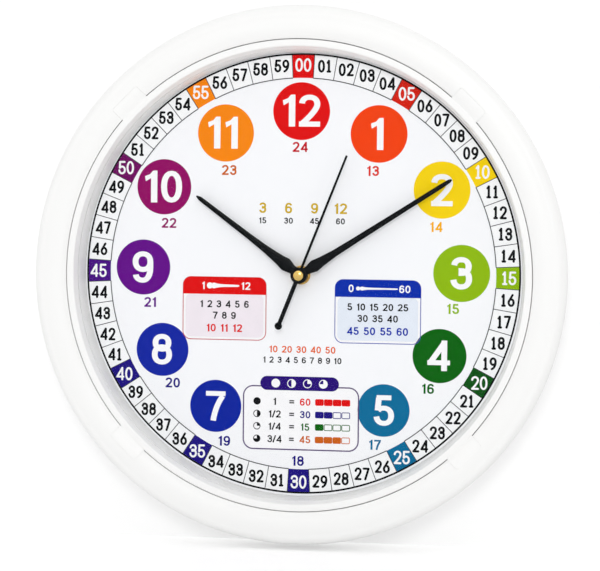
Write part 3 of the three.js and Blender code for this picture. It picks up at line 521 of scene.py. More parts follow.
# Materials. The inputs of a node are plain values, or outputs of other nodes.
NOISE_LOW = 0.3
NOISE_HIGH = 0.7
GLOSS_SWING = 0.12
BROAD_GRAIN = 12
FINE_DETAIL = 4
BROAD_DETAIL = 2
WIRE_SCALE = 2600
CELL_GRAIN = 700
LENS_GRAIN = 30
BUMP_STRENGTH = 0.5
LENS_BUMP_STRENGTH = 0.1
WIRE_RELIEF = 0.05
SLEEVE_RELIEF = 0.01
LENS_RELIEF = 0.02
WIRE_COLOUR = (196, 116, 62)
WIRE_SPREAD = 0.3
SLEEVE_COLOUR = (46, 50, 56)
SLEEVE_END_COLOUR = (196, 128, 76)
SLEEVE_ROUGHNESS = (0.26, 0.36)
LENS_COLOUR = (84, 92, 98)
LENS_SPREAD = 0.1

Look = namedtuple(
    "Look", "colour roughness metallic specular grain depth spread stretch",
    defaults=(0, 0.5, 900, 0.01, 0.02, None),
)
LOOKS = {
    "white_plastic": Look((244, 244, 243), 0.36, specular=0.22, grain=420, depth=0.012, spread=0.004),
    "tab_plastic": Look((245, 245, 244), 0.36, specular=0.22, grain=420, depth=0.012, spread=0.004),
    "dial_card": Look((251, 252, 255), 0.6, specular=0.1, grain=1600, depth=0.006, spread=0.004),
    "black_gloss": Look((3, 3, 4), 0.36, specular=0.06, grain=260, spread=0.15),
    "brass": Look((214, 176, 98), 0.24, metallic=1, grain=700, spread=0.06),
    "bright_brass": Look((232, 196, 112), 0.16, metallic=1, grain=500, depth=0.006, spread=0.05),
    "steel": Look((190, 192, 196), 0.32, 1, grain=800, depth=0.008, spread=0.05, stretch=(1, 1, 12)),
    "magnet_grey": Look((92, 92, 96), 0.55, grain=1500, depth=0.02, spread=0.1),
    "movement_grey": Look((44, 45, 48), 0.5, depth=0.03, spread=0.08),
    "gear_plastic": Look((233, 228, 214), 0.45, spread=0.03),
    "rubber": Look((26, 26, 27), 0.85, specular=0.2, grain=1400, depth=0.03, spread=0.12),
    "board_green": Look((38, 98, 62), 0.42, grain=500, depth=0.02, spread=0.2, stretch=(1, 1, 6)),
}
INK_LOOK = Look((0, 0, 0), 0.6, specular=0.03, grain=1600, depth=0.006, spread=0.015)

# Slots of the record whose names differ from their finish
SLOTS = {"tab_plastic": "white_plastic", "black_gloss": "hand_black", "bright_brass": "brass"}


# The curve between screen colours and light
SCREEN_TOP = 255
SCREEN_KNEE = 0.04045
SCREEN_SLOPE = 12.92
SCREEN_OFFSET = 0.055
SCREEN_POWER = 2.4


def linear(colour):
    """A screen colour as the light it stands for."""
    values = []
    for channel in colour:
        share = channel / SCREEN_TOP
        curved = ((share + SCREEN_OFFSET) / (1 + SCREEN_OFFSET)) ** SCREEN_POWER
        values.append(share / SCREEN_SLOPE if share <= SCREEN_KNEE else curved)
    return (*values, 1)


def connect(tree, node, inputs):
    """Gives each input of a node its value, or links it to the output that feeds it."""
    for name, value in inputs.items():
        if isinstance(value, bpy.types.NodeSocket):
            tree.links.new(value, node.inputs[name])
        else:
            node.inputs[name].default_value = value


def add_node(tree, kind, inputs=(), output=0, **settings):
    """Adds a node and gives the output that is asked for."""
    node = tree.nodes.new(kind)
    for name, value in settings.items():
        setattr(node, name, value)
    connect(tree, node, dict(inputs))
    return node.outputs[output]


def blank_material(name):
    material = bpy.data.materials.new(name)
    material.use_nodes = True
    return material, material.node_tree


def shaded(material, inputs):
    tree = material.node_tree
    connect(tree, tree.nodes["Principled BSDF"], inputs)
    return material


def noise(tree, scale, detail=FINE_DETAIL, stretch=None):
    source = add_node(tree, "ShaderNodeTexCoord", output="Object")
    if stretch:
        source = add_node(tree, "ShaderNodeMapping", {"Vector": source, "Scale": stretch})
    inputs = {"Vector": source, "Scale": scale, "Detail": detail}
    return add_node(tree, "ShaderNodeTexNoise", inputs, "Fac")


def ranged(tree, source, low, high, start=NOISE_LOW, end=NOISE_HIGH):
    """Runs from low to high while the source runs from start to end."""
    inputs = {"Value": source, "From Min": start, "From Max": end, "To Min": low, "To Max": high}
    return add_node(tree, "ShaderNodeMapRange", inputs)


def mixed(tree, amount, first, second):
    inputs = {"Factor": amount, "A": first, "B": second}
    return add_node(tree, "ShaderNodeMix", inputs, "Result", data_type="RGBA")


def mottled(tree, source, colour, spread):
    """Lets the colour vary a little about the one that is written."""
    base = linear(colour)[:3]
    low = tuple(channel * (1 - spread) for channel in base) + (1,)
    high = tuple(min(1, channel * (1 + spread)) for channel in base) + (1,)
    return mixed(tree, ranged(tree, source, 0, 1), low, high)


def bumped(tree, source, depth, strength=BUMP_STRENGTH):
    inputs = {"Height": source, "Strength": strength, "Distance": depth * METRE}
    return add_node(tree, "ShaderNodeBump", inputs)


def surface(name, look):
    """A finish whose colour, gloss and relief come from fine noise at the scale of its grain."""
    material, tree = blank_material(name)
    fine = noise(tree, look.grain, stretch=look.stretch)
    broad = noise(tree, look.grain / BROAD_GRAIN, BROAD_DETAIL)
    dull, bright = look.roughness * (1 + GLOSS_SWING), look.roughness * (1 - GLOSS_SWING)
    return shaded(material, {
        "Metallic": look.metallic,
        "Specular IOR Level": look.specular,
        "Base Color": mottled(tree, broad, look.colour, look.spread),
        "Roughness": ranged(tree, fine, bright, dull),
        "Normal": bumped(tree, fine, look.depth),
    })


def copper_wire():
    """Fine turns of enamelled wire across the coil."""
    material, tree = blank_material("copper_wire")
    source = add_node(tree, "ShaderNodeTexCoord", output="Object")
    inputs = {"Vector": source, "Scale": WIRE_SCALE, "Distortion": 0.6}
    wave = add_node(tree, "ShaderNodeTexWave", inputs, "Fac", bands_direction="Z")
    return shaded(material, {
        "Metallic": 1,
        "Roughness": 0.3,
        "Base Color": mottled(tree, wave, WIRE_COLOUR, WIRE_SPREAD),
        "Normal": bumped(tree, wave, WIRE_RELIEF),
    })


def cell_sleeve():
    """A plain wrapped cell: a dark sleeve with a copper-coloured end towards the terminal."""
    material, tree = blank_material("cell_sleeve")
    source = add_node(tree, "ShaderNodeTexCoord", output="Object")
    along = add_node(tree, "ShaderNodeSeparateXYZ", {"Vector": source}, "X")
    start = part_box("battery_cell")[1].x - CELL_CAP_LENGTH * METRE
    edge = ranged(tree, along, 0, 1, start, start + CRISP_EDGE * METRE)
    fine = noise(tree, CELL_GRAIN)
    return shaded(material, {
        "Metallic": 0.6,
        "Base Color": mixed(tree, edge, linear(SLEEVE_COLOUR), linear(SLEEVE_END_COLOUR)),
        "Roughness": ranged(tree, fine, *SLEEVE_ROUGHNESS),
        "Normal": bumped(tree, fine, SLEEVE_RELIEF),
    })


def clear_lens():
    """A thin clear sheet, which shows mostly by its gloss at low angles."""
    material, tree = blank_material("clear_lens")
    fine = noise(tree, LENS_GRAIN, BROAD_DETAIL)
    return shaded(material, {
        "Roughness": 0.04,
        "Alpha": 0.02,
        "Base Color": mottled(tree, fine, LENS_COLOUR, LENS_SPREAD),
        "Normal": bumped(tree, fine, LENS_RELIEF, LENS_BUMP_STRENGTH),
    })


materials = {name: surface(name, look) for name, look in LOOKS.items()}
materials.update(copper_wire=copper_wire(), cell_sleeve=cell_sleeve(), clear_lens=clear_lens())

# Finishes of the nodes that are shown as they are
NODE_FINISHES = {
    "steel": (
        "wall_hanger", "quartz_crystal", "positive_contact", "negative_contact", "stator", "coil_core",
        "second_arbor", "clutch_spring",
    ),
    "movement_grey": ("movement_case", "movement_cover"),
    "gear_plastic": (
        "gear_plate", "coil_bobbin", "rotor_pinion", "intermediate_wheel", "second_wheel", "third_wheel",
        "centre_wheel", "minute_wheel", "hour_wheel", "setting_knob",
    ),
    "board_green": ("circuit_board",),
    "copper_wire": ("coil_winding",),
    "rubber": ("rubber_washer",),
    "brass": ("threaded_bushing", "minute_tube"),
    "magnet_grey": ("rotor_magnet",),
}


def finish_nodes():
    for finish, nodes in NODE_FINISHES.items():
        for node in nodes:
            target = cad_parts[node].data.materials
            target.clear()
            target.append(materials[finish])
    bevelled(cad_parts["wall_hanger"], MOULD_EDGE / 2)


# Case

def face_height(radius):
    inside = radius < crest_radius
    fall = CREST_FALL_INSIDE if inside else CREST_FALL_OUTSIDE
    reach = crest_radius - seam_radius if inside else fillet_start - crest_radius
    return case_depth - fall * ((radius - crest_radius) / reach) ** 2


def face_points(start, end, drop=0):
    radii = [start + (end - start) * share for share in shares(ARC_STEPS)]
    return [(radius, face_height(radius) - drop) for radius in radii]


def side_radius(height):
    share = min(1, height / side_top)
    return case_back_radius + SIDE_TAPER * math.sin(share * math.pi / 2)


def edge_points(radius):
    return arc((fillet_start, side_top), (radius, radius), 0, 90, steps=ARC_STEPS)


def case_outline():
    heights = [share * side_top for share in shares(ARC_STEPS)]
    corners = [
        (case_seam_radius, rebate_height),
        (shoulder_radius, rebate_height),
        (shoulder_radius, lens_back - SEAT),
        (ledge_radius, lens_back - SEAT),
        (floor_radius, plate_front + SEAT),
        (plate_radius, plate_front + SEAT),
        (shoulder_radius + CASE_WALL, lens_back - CASE_WALL),
        (case_seam_radius + CASE_WALL, rebate_height - CASE_WALL),
    ]
    return [
        *[(side_radius(height), height) for height in heights],
        *edge_points(CASE_FILLET)[1:],
        *face_points(fillet_start, case_seam_radius)[1:],
        *corners,
        *face_points(case_seam_radius + CASE_WALL, fillet_start, CASE_WALL),
        *edge_points(CASE_FILLET - CASE_WALL)[-2:0:-1],
        *[(side_radius(height) - CASE_WALL, height) for height in heights[::-1]],
    ]


def rib_angles():
    return [360 * (share - 0.5 / RIB_COUNT) for share in shares(RIB_COUNT)[1:]]


def radial_rib(outline, angle):
    """Stands an outline of (radius, height) points up as a rib of even thickness."""
    upright = prism(outline, -RIB_THICKNESS / 2, RIB_THICKNESS / 2)
    return rotated(rotated(upright, 90, "X"), angle)


def case_gusset(angle):
    back = plate_back - RIB_DEPTH
    top = rebate_height - CASE_WALL + SEAT
    inner = plate_radius + 3 * SEAT
    outline = [
        (inner, back),
        (side_radius(back) - CASE_WALL / 2, back),
        (side_radius(top) - CASE_WALL / 2, top),
        (shoulder_radius + CASE_WALL / 2, top),
        (inner, plate_front + 2 * RIB_THICKNESS),
    ]
    return radial_rib(outline, angle)


def tab_prism(gap, back, front):
    half = TAB_WIDTH / 2 + gap
    inner = ring_radius - TAB_REACH
    outline = rounded_rectangle(inner, seam_radius + TAB_REACH + gap, -half, half, TAB_CORNER + gap)
    return prism(outline, back, front)


def build_case():
    shell = bare_object("case_shell_fine", turned(softened(case_outline(), MOULD_EDGE)))
    floor = seam_height - TAB_THICKNESS - SEAT
    pockets = [rotated(tab_prism(TAB_GAP, floor, case_depth + OVERRUN), angle) for angle in TAB_ANGLES]
    carved(shell, bare_object("pockets", combined(*pockets)), "DIFFERENCE")
    finished(shell, "white_plastic", "case", ["case_shell"])
    gussets = combined(*[case_gusset(angle) for angle in rib_angles()])
    made = piece("case_gussets", gussets, "white_plastic", "case")
    bevelled(made, MOULD_EDGE)


def collar_outline(growth):
    half = MOVEMENT_HALF + growth
    return rounded_rectangle(-half, half, -half, half, MOVEMENT_CORNER + growth)


def plate_rib(angle):
    turn = math.radians(angle)
    room = MOVEMENT_HALF + FRAME_CLEARANCE + RIB_THICKNESS / 2
    start = room / max(abs(math.cos(turn)), abs(math.sin(turn)))
    back = plate_back - RIB_DEPTH
    outline = [
        (start, plate_back + SEAT),
        (start, back),
        (plate_radius - 2 * RIB_DEPTH, back),
        (plate_radius - RIB_DEPTH / 2, plate_back + SEAT),
    ]
    return radial_rib(outline, angle)


def build_plate():
    ring_back = plate_back - RIB_DEPTH
    outline = [
        (HOLE_RADIUS, plate_back),
        (ring_rib_radius, plate_back),
        (ring_rib_radius, ring_back),
        (ring_rib_radius + RIB_THICKNESS, ring_back),
        (ring_rib_radius + RIB_THICKNESS, plate_back),
        (plate_radius, plate_back),
        (plate_radius, plate_front),
        (HOLE_RADIUS, plate_front),
    ]
    piece("dial_plate_fine", turned(softened(outline, MOULD_EDGE)), "white_plastic", "case", ["dial_plate"])
    clear = collar_outline(FRAME_CLEARANCE)
    outer = collar_outline(FRAME_CLEARANCE + RIB_THICKNESS)
    collar = hollow_prism(outer, clear, plate_back - FRAME_DEPTH, plate_back + SEAT)
    ribs = [plate_rib(angle) for angle in rib_angles()]
    made = piece("dial_plate_ribs", combined(collar, *ribs), "white_plastic", "case")
    bevelled(made, MOULD_EDGE)


# Lens ring, lens and card

def ring_outline():
    foot = lens_front + SEAT
    middle = (ring_radius - RING_LIP_WIDTH + SEAM_WIDTH, seam_height - LIP_ROUNDING)
    return [
        (ledge_radius + SEAT, foot),
        *arc(middle, (-LIP_ROUNDING, LIP_ROUNDING), 0, 90, steps=ARC_STEPS),
        (ring_radius, seam_height),
        (ring_radius, rebate_height + SEAT),
        (shoulder_radius - 3 * SEAT, rebate_height + SEAT),
        (shoulder_radius - 3 * SEAT, foot),
    ]


def bezel_layer():
    outer = seam_radius + TAB_REACH + TAB_CORNER
    inner = ring_radius - CASE_WALL
    floor = seam_height - TAB_THICKNESS
    top = face_points(outer, seam_radius)
    return turned([(inner, floor), (outer, floor), *top, (inner, seam_height)])


def build_lens_ring():
    outline = softened(ring_outline(), MOULD_EDGE / 2)
    piece("lens_ring_fine", turned(outline), "white_plastic", "case", ["lens_ring"])
    tabs = bare_object("lens_ring_tabs", bezel_layer())
    low = seam_height - TAB_THICKNESS - OVERRUN
    tools = [rotated(tab_prism(0, low, case_depth + OVERRUN), angle) for angle in TAB_ANGLES]
    carved(tabs, bare_object("tools", combined(*tools)), "INTERSECT")
    finished(tabs, "tab_plastic", "case")
    bevelled(tabs, CRISP_EDGE, angle=FLAT_BEVEL_ANGLE)


def disc_outline(radius, back, front, hole=0):
    return [(hole, back), (radius, back), (radius, front), (hole, front)]


def build_lens_and_card():
    lens = turned(softened(disc_outline(lens_radius, lens_back, lens_front), LENS_EDGE))
    piece("front_lens_fine", lens, "clear_lens", "case", ["front_lens"])
    card = disc_outline(dial_radius, back_of("dial_sheet"), dial_front, HOLE_RADIUS)
    piece("dial_sheet_fine", turned(softened(card, PAPER_EDGE)), "dial_card", "case", ["dial_sheet"])


def build_fixing():
    washer = disc_outline(WASHER_RADIUS, back_of("brass_washer"), front_of("brass_washer"), HOLE_RADIUS)
    made = turned(softened(washer, CRISP_EDGE), DISC_SIDES)
    piece("brass_washer_fine", made, "brass", "case", ["brass_washer"])
    back, front = back_of("hex_nut"), front_of("hex_nut")
    corner = NUT_FLATS / 2 / math.cos(math.pi / NUT_SIDES)
    hexagon = bare_object("hex_nut_fine", turned(disc_outline(corner, back, front, HOLE_RADIUS), NUT_SIDES))
    chamfer = corner - NUT_FLATS / 2
    cone = [
        (0, back - OVERRUN),
        (corner + chamfer, back - OVERRUN),
        (corner + chamfer, front - 2 * chamfer),
        (NUT_FLATS / 2, front),
        (0, front),
    ]
    carved(hexagon, bare_object("cone", turned(cone, DISC_SIDES)), "INTERSECT")
    finished(hexagon, "brass", "case", ["hex_nut"])
    bevelled(hexagon, CRISP_EDGE)


# Hands

def smooth_width(stations, along):
    """The half width between stations, on a curve that keeps their rises and falls."""
    for (start, low), (end, high) in zip(stations, stations[1:]):
        if along <= end:
            share = (along - start) / (end - start)
            eased = share * share * (3 - 2 * share)
            return low + (high - low) * (share + eased) / 2
    return stations[-1][1]


def blade(length, half_width, stations, back):
    """A long blade with a flat back, two low edges, and a softly rounded ridge along the middle."""
    places = sorted(set(shares(BLADE_STATIONS) + [along for along, _ in stations]))
    points, faces = [], []
    for along in places:
        width = smooth_width(stations, along)
        x = width * half_width
        ridge = HAND_EDGE + (HAND_THICKNESS - HAND_EDGE) * math.sqrt(width)
        shoulder = HAND_EDGE + (ridge - HAND_EDGE) * (1 - EDGE_SHARE)
        section = [
            (-x, 0), (x, 0), (x, HAND_EDGE * EDGE_SHARE), (x * EDGE_SHARE, shoulder),
            (0, ridge), (-x * EDGE_SHARE, shoulder), (-x, HAND_EDGE * EDGE_SHARE),
        ]
        points += [(side, along * length, back + rise) for side, rise in section]
    count = len(section)
    for station in range(len(places) - 1):
        for side in range(count):
            here = station * count + side
            beside = station * count + (side + 1) % count
            faces.append([here, beside, beside + count, here + count])
    last = (len(places) - 1) * count
    faces.append(list(range(count)))
    faces.append(list(range(last, last + count)))
    return points, faces


def hub(radius, hole, back, front):
    outline = softened(disc_outline(radius, back, front, hole), CRISP_EDGE * 2)
    return turned(outline, DISC_SIDES)


def build_ridged_hand(name, node, body, length, half_width, stations, radius, hole, angle):
    back, front = back_of(node), front_of(node)
    long_part = bare_object(name, blade(length, half_width, stations, back))
    bore = turned(disc_outline(hole + CRISP_EDGE, back - OVERRUN, front + OVERRUN), DISC_SIDES)
    carved(long_part, bare_object("bore", bore), "DIFFERENCE")
    made = turn_up(long_part, angle)
    finished(made, "black_gloss", body, [node])
    piece(name + "_hub", hub(radius, hole, back, front), "black_gloss", body)


def turn_up(made, angle):
    """Turns a hand that was drawn up the dial to its place, clockwise about the hands' axis."""
    centre = place((0, 0, 0))
    turn = Matrix.Rotation(math.radians(angle), 4, "Y")
    made.data.transform(Matrix.Translation(centre) @ turn @ Matrix.Translation(-centre))
    return made


def tapered(start, start_half, end, end_half):
    return [(-start_half, start), (start_half, start), (end_half, end), (-end_half, end)]


def build_second_hand():
    back, front = back_of("second_hand"), front_of("second_hand")
    low = back + (HAND_THICKNESS - SECOND_BLADE_THICKNESS) / 2
    high = low + SECOND_BLADE_THICKNESS
    root, half, tail_half = SECOND_HUB_RADIUS / 2, SECOND_HAND_HALF_WIDTH, SECOND_TAIL_HALF_WIDTH
    long_end = tapered(root, half, SECOND_HAND_LENGTH, half * SECOND_TIP_SHARE)
    tail = tapered(-SECOND_TAIL_LENGTH, tail_half, -root, tail_half)
    ball = turned(softened(disc_outline(SECOND_BALL_RADIUS, low, high), CRISP_EDGE), DISC_SIDES)
    ball = shifted(ball, (0, -SECOND_TAIL_LENGTH, 0))
    flat = combined(prism(long_end, low, high), prism(tail, low, high), ball)
    made = turn_up(bare_object("second_hand_fine", flat), SECOND_HAND_ANGLE)
    finished(made, "black_gloss", "seconds", ["second_hand"])
    bevelled(made, CRISP_EDGE / 2)
    boss = hub(SECOND_HUB_RADIUS, SECOND_HOLE_RADIUS, back, front)
    piece("second_hand_hub", boss, "black_gloss", "seconds")


def build_cap():
    back, front = back_of("second_hand_cap"), front_of("second_hand_cap")
    rim = back + (front - back) * CAP_RIM_SHARE
    dome = arc((0, rim), (CAP_RADIUS, front - rim), 0, 90, steps=ARC_STEPS)[:-1]
    cap = turned([(0, back), (CAP_RADIUS, back), *dome, (0, front)], DISC_SIDES)
    piece("second_hand_cap_fine", cap, "bright_brass", "seconds", ["second_hand_cap"])


def build_hands():
    build_ridged_hand(
        "hour_hand_fine", "hour_hand", "hours", HOUR_HAND_LENGTH, HOUR_HAND_HALF_WIDTH, HOUR_HAND_SHARES,
        HOUR_HUB_RADIUS, HOUR_HOLE_RADIUS, HOUR_HAND_ANGLE,
    )
    build_ridged_hand(
        "minute_hand_fine", "minute_hand", "minutes", MINUTE_HAND_LENGTH, MINUTE_HAND_HALF_WIDTH,
        MINUTE_HAND_SHARES, MINUTE_HUB_RADIUS, MINUTE_HOLE_RADIUS, MINUTE_HAND_ANGLE,
    )
    build_second_hand()
    build_cap()


# Back of the clock

def build_cell():
    low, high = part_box("battery_cell")
    centre = (low + high) / 2
    radius = (high.z - low.z) / METRE / 2
    half = (high.x - low.x) / METRE / 2
    outline = [
        (0, -half),
        (radius, -half),
        (radius, half - CELL_NUB_LENGTH),
        (CELL_NUB_RADIUS, half - CELL_NUB_LENGTH),
        (CELL_NUB_RADIUS, half),
        (0, half),
    ]
    upright = turned(softened(outline, CELL_EDGE), DISC_SIDES)
    lying = rotated(upright, 90, "Y")
    spot = (centre.x / METRE, centre.z / METRE + HOOK_HEIGHT, -centre.y / METRE)
    piece("battery_cell_fine", shifted(lying, spot), "cell_sleeve", "battery", ["battery_cell"])


def screw_head(spot, face):
    """A slotted pan head on the back of the hanger's foot."""
    half = SCREW_HEIGHT / 2
    dome = arc((0, face - half), (SCREW_RADIUS, -half), 0, 90, steps=CORNER_STEPS)[:-1]
    outline = [(0, face), (SCREW_RADIUS, face), *dome, (0, face - SCREW_HEIGHT)]
    return shifted(turned(outline, DISC_SIDES), (*spot, 0))


def screw_slot(spot, face):
    half = SCREW_SLOT / 2
    outline = rounded_rectangle(-SCREW_RADIUS * 2, SCREW_RADIUS * 2, -half, half, half / 2, 1)
    return shifted(prism(outline, face - 2 * SCREW_HEIGHT, face - SCREW_HEIGHT / 2), (*spot, 0))


def build_screws():
    face = front_of("wall_hanger") - HANGER_THICKNESS
    heads = bare_object("hanger_screws", combined(*[screw_head(spot, face) for spot in SCREW_SPOTS]))
    slots = bare_object("slots", combined(*[screw_slot(spot, face) for spot in SCREW_SPOTS]))
    carved(heads, slots, "DIFFERENCE")
    finished(heads, "steel", "case")


# Flat print. Each ink gathers the shapes that it prints.

printed = {ink: ([], []) for ink in INKS}


def stamp(ink, shape, layer, spot=(0, 0), size=1, lift=0):
    """Adds a flat shape to an ink, facing the reader. Shapes of one layer may differ in their lift."""
    outline, faces = shape
    points, kept = printed[ink]
    start = len(points)
    height = dial_front + layer * INK_STEP + lift * STROKE_STEP
    left, low = spot[0] + PRINT_SHIFT[0], spot[1] + PRINT_SHIFT[1]
    points += [(left + x * size, low + y * size, height) for x, y in outline]
    for face in faces:
        corners = [outline[corner] for corner in face]
        pairs = zip(corners, corners[1:] + corners[:1])
        area = sum(x0 * y1 - x1 * y0 for (x0, y0), (x1, y1) in pairs)
        order = face if area > 0 else face[::-1]
        kept.append([start + corner for corner in order])


def filled(outline):
    return list(outline), [list(range(len(outline)))]


def oval(centre, reach, sides=DISC_SIDES):
    return filled(arc(centre, reach, 0, 360, steps=sides)[:-1])


def even_pen(width):
    return width / 2, width / 2


def ribbon(path, pen, closed=False):
    """A stroke along a path, drawn with an upright oval pen."""
    count = len(path)
    points, faces = [], []
    for index, (x, y) in enumerate(path):
        before = path[index - 1] if closed or index else path[index]
        after = path[(index + 1) % count] if closed or index + 1 < count else path[index]
        along = (Vector(after) - Vector(before)).normalized()
        across, up = along.y * pen[0], along.x * pen[1]
        points += [(x - across, y + up), (x + across, y - up)]
    for index in range(count if closed else count - 1):
        here = 2 * index
        there = 2 * ((index + 1) % count)
        faces.append([here, there, there + 1, here + 1])
    return points, faces


def band(inner, outer, start, end, steps=ARC_STEPS):
    """Part of a ring, between two angles clockwise from the top."""
    angles = [start + (end - start) * share for share in shares(steps)]
    points = [clock_spot(radius, angle) for angle in angles for radius in (inner, outer)]
    faces = [[2 * index, 2 * index + 1, 2 * index + 3, 2 * index + 2] for index in range(steps)]
    return points, faces


# Digits in a box of height 1. Their values are shares of the box, a bowl or the pen, and angles.

Style = namedtuple("Style", "width one_width one_room four_width pen gap rounded square")
BOLD = Style(0.675, 0.415, 0.02, 0.745, (0.095, 0.08), 0.1, False, 0.9)
LABEL = Style(0.68, 0.36, 0.03, 0.72, (0.094, 0.085), 0.13, False, 0.92)
ROUND = Style(0.555, 0.36, 0.05, 0.61, (0.088, 0.086), 0.075, True, 0.96)
WHITE_ROUND = Style(0.57, 0.38, 0.02, 0.62, (0.074, 0.074), 0.06, True, 0.96)
LOWER_BOWL = 0.29
UPPER_BOWL = 0.25
ONE_FLAG = 0.77
FLAG_STEM = 2.15
FLAG_TOP = 1.44
FLAG_SHARES = ((0.43, 0.885), (0.04, 0.824))
FLAG_TIP = (0.1, 0.824)
FLAG_JOINT = 0.92
TWO_TURN = (176, -30)
TWO_BEND = (0.55, 0.42)
TWO_FOOT = 0.9
THREE_TURN = (172, -174)
THREE_TOP = 0.93
THREE_JOINT = 0.35
FOUR_STEM = 0.74
FOUR_BAR = 0.27
FIVE_TURN = (140, -174)
FIVE_BACK = 0.8
FIVE_LEAN = 0.15
FIVE_TOP = 0.3
SIX_TIP = 0.55
SIX_JOINT = (0.25, 1.35)
SIX_TOP = 0.96
SIX_START = 8
NINE_BEND = 0.6
NINE_TIP = 0.5
SEVEN_FOOT = 0.3
SEVEN_CURVE = (0.35, 0.52)
EIGHT_TOP = 0.9
EQUALS_SHARES = (0.36, 0.64)


def box_of(character, style):
    widths = {
        "1": style.one_width + 2 * style.one_room,
        "4": style.four_width,
        "/": style.one_width,
        " ": style.gap * 3,
    }
    return widths.get(character, style.width)


def stroke(*points):
    return list(points), False


def bowl(centre, reach, square=1):
    return arc(centre, reach, 0, 360, square)[:-1], True


def strokes_of(character, style):
    """The centre lines of a character's strokes, each with whether it is closed."""
    width = box_of(character, style)
    half_x, half_y = style.pen
    left, right, middle = half_x, width - half_x, width / 2
    low, high = half_y, 1 - half_y
    reach, rise = middle - half_x, 1 / 2 - half_y
    square = style.square
    first, last = (left, right) if style.rounded else (0, width)
    big, small = LOWER_BOWL - half_y / 2, UPPER_BOWL - half_y / 2
    centre, lower, upper = (middle, 1 / 2), (middle, low + big), (middle, high - small)
    if character == "0":
        return [bowl(centre, (reach, rise), square)]
    if character == "1":
        left, right = left + style.one_room, right - style.one_room
        flag = stroke((left, ONE_FLAG), (middle, high))
        return [stroke((middle, low), (middle, high)), flag, stroke((left, low), (right, low))]
    if character == "2":
        top = arc(upper, (reach, small), *TWO_TURN, square)
        foot = left if style.rounded else left * TWO_FOOT
        tail = curve(top[-1], (middle + reach * TWO_BEND[0], TWO_BEND[1]), (foot, low))
        return [stroke(*top, *tail[1:]), stroke((first, low), (last, low))]
    if character == "3":
        top = arc(upper, (reach * THREE_TOP, small), THREE_TURN[0], -90, square)
        bottom = arc(lower, (reach, big), 90, THREE_TURN[1], square)
        inward = middle - reach * THREE_JOINT
        return [stroke(*top, (inward, top[-1][1])), stroke((inward, bottom[0][1]), *bottom)]
    if character == "4":
        stem = width * FOUR_STEM
        foot, head = (low, high) if style.rounded else (0, 1)
        bar = stroke((first, FOUR_BAR), (last, FOUR_BAR))
        return [stroke((stem, foot), (stem, head)), bar, stroke((stem, high), (left, FOUR_BAR))]
    if character == "5":
        bottom = arc(lower, (reach, big), *FIVE_TURN, square)
        back = left + half_x * FIVE_BACK
        joint = (bottom[0][0] - half_x * FIVE_LEAN, bottom[0][1])
        start, end = (back, right - half_x * FIVE_TOP) if style.rounded else (left, right)
        return [stroke(*bottom), stroke((back, high), joint), stroke((start, high), (end, high))]
    if character in "69":
        return six_or_nine(character == "9", style, width, (left, high), reach, big, small)
    if character == "7":
        leg = [(right, high), (middle - reach * SEVEN_FOOT, low)]
        if not style.rounded:
            share, bend = SEVEN_CURVE
            leg = curve((right, high - half_y), (middle, bend), (middle - reach * share, 0))
        return [stroke((first, high), (last, high)), stroke(*leg)]
    if character == "8":
        return [bowl(upper, (reach * EIGHT_TOP, small), square), bowl(lower, (reach, big), square)]
    if character == "/":
        return [stroke((0, 0), (width, 1))]
    if character == "=":
        return [stroke((0, height), (width, height)) for height in EQUALS_SHARES]
    return []


def six_or_nine(turned_round, style, width, corner, reach, big, small):
    """A six, or one turned round to a nine. A rounded style gives its nine a curved tail."""
    left, high = corner
    low, middle = 1 - high, width / 2
    lower = (middle, low + big)
    if style.rounded:
        joint = (left + left * SIX_JOINT[0], low + big * SIX_JOINT[1])
        spine = [(middle + reach * SIX_TIP, high), joint]
        if turned_round:
            bend, tip = (left, high - big * NINE_BEND), (middle + reach * NINE_TIP, high)
            spine = curve((left, low + big), bend, tip)
        lines = [bowl(lower, (reach, big)), stroke(*spine)]
    else:
        top = arc((middle, high - small), (reach * SIX_TOP, small), SIX_START, 90, style.square)
        shoulder = arc((middle, 1 / 2), (reach, high - 1 / 2), 90, 180, style.square)
        lines = [bowl(lower, (reach, big), style.square), stroke(*top, *shoulder[1:], (left, low + big))]
    if turned_round:
        return [([(width - x, 1 - y) for x, y in line], closed) for line, closed in lines]
    return lines


def flagged_one(style):
    """The figure 1 of the two plain alphabets: a full stem with a slanting flag."""
    width = style.one_width
    half_x, half_y = style.pen
    stem = width - FLAG_STEM * half_x
    drop = 2 * half_y
    outline = [(stem, 0), (width, 0), (width, 1), (width - FLAG_TOP * half_x, 1)]
    outline += [(width * across, up) for across, up in FLAG_SHARES]
    outline += [(width * FLAG_TIP[0], FLAG_TIP[1] - drop), (stem, FLAG_JOINT - drop)]
    return filled([(x + style.one_room, y) for x, y in outline])


def parts_of(character, style):
    if character == "1" and not style.rounded:
        return [flagged_one(style)]
    parts = []
    for path, closed in strokes_of(character, style):
        parts.append(ribbon(path, style.pen, closed))
        if style.rounded and not closed:
            parts += [oval(path[0], style.pen, GLYPH_STEPS), oval(path[-1], style.pen, GLYPH_STEPS)]
    return parts


def write(ink, text, spot, size, style, layer):
    """Prints a row of characters centred on a spot."""
    widths = [box_of(character, style) for character in text]
    total = sum(widths) + style.gap * (len(text) - 1)
    x = spot[0] - total * size / 2
    y = spot[1] - size / 2
    for character, width in zip(text, widths):
        for lift, part in enumerate(parts_of(character, style)):
            stamp(ink, part, layer, (x, y), size, lift)
        x += (width + style.gap) * size


# Minute ring

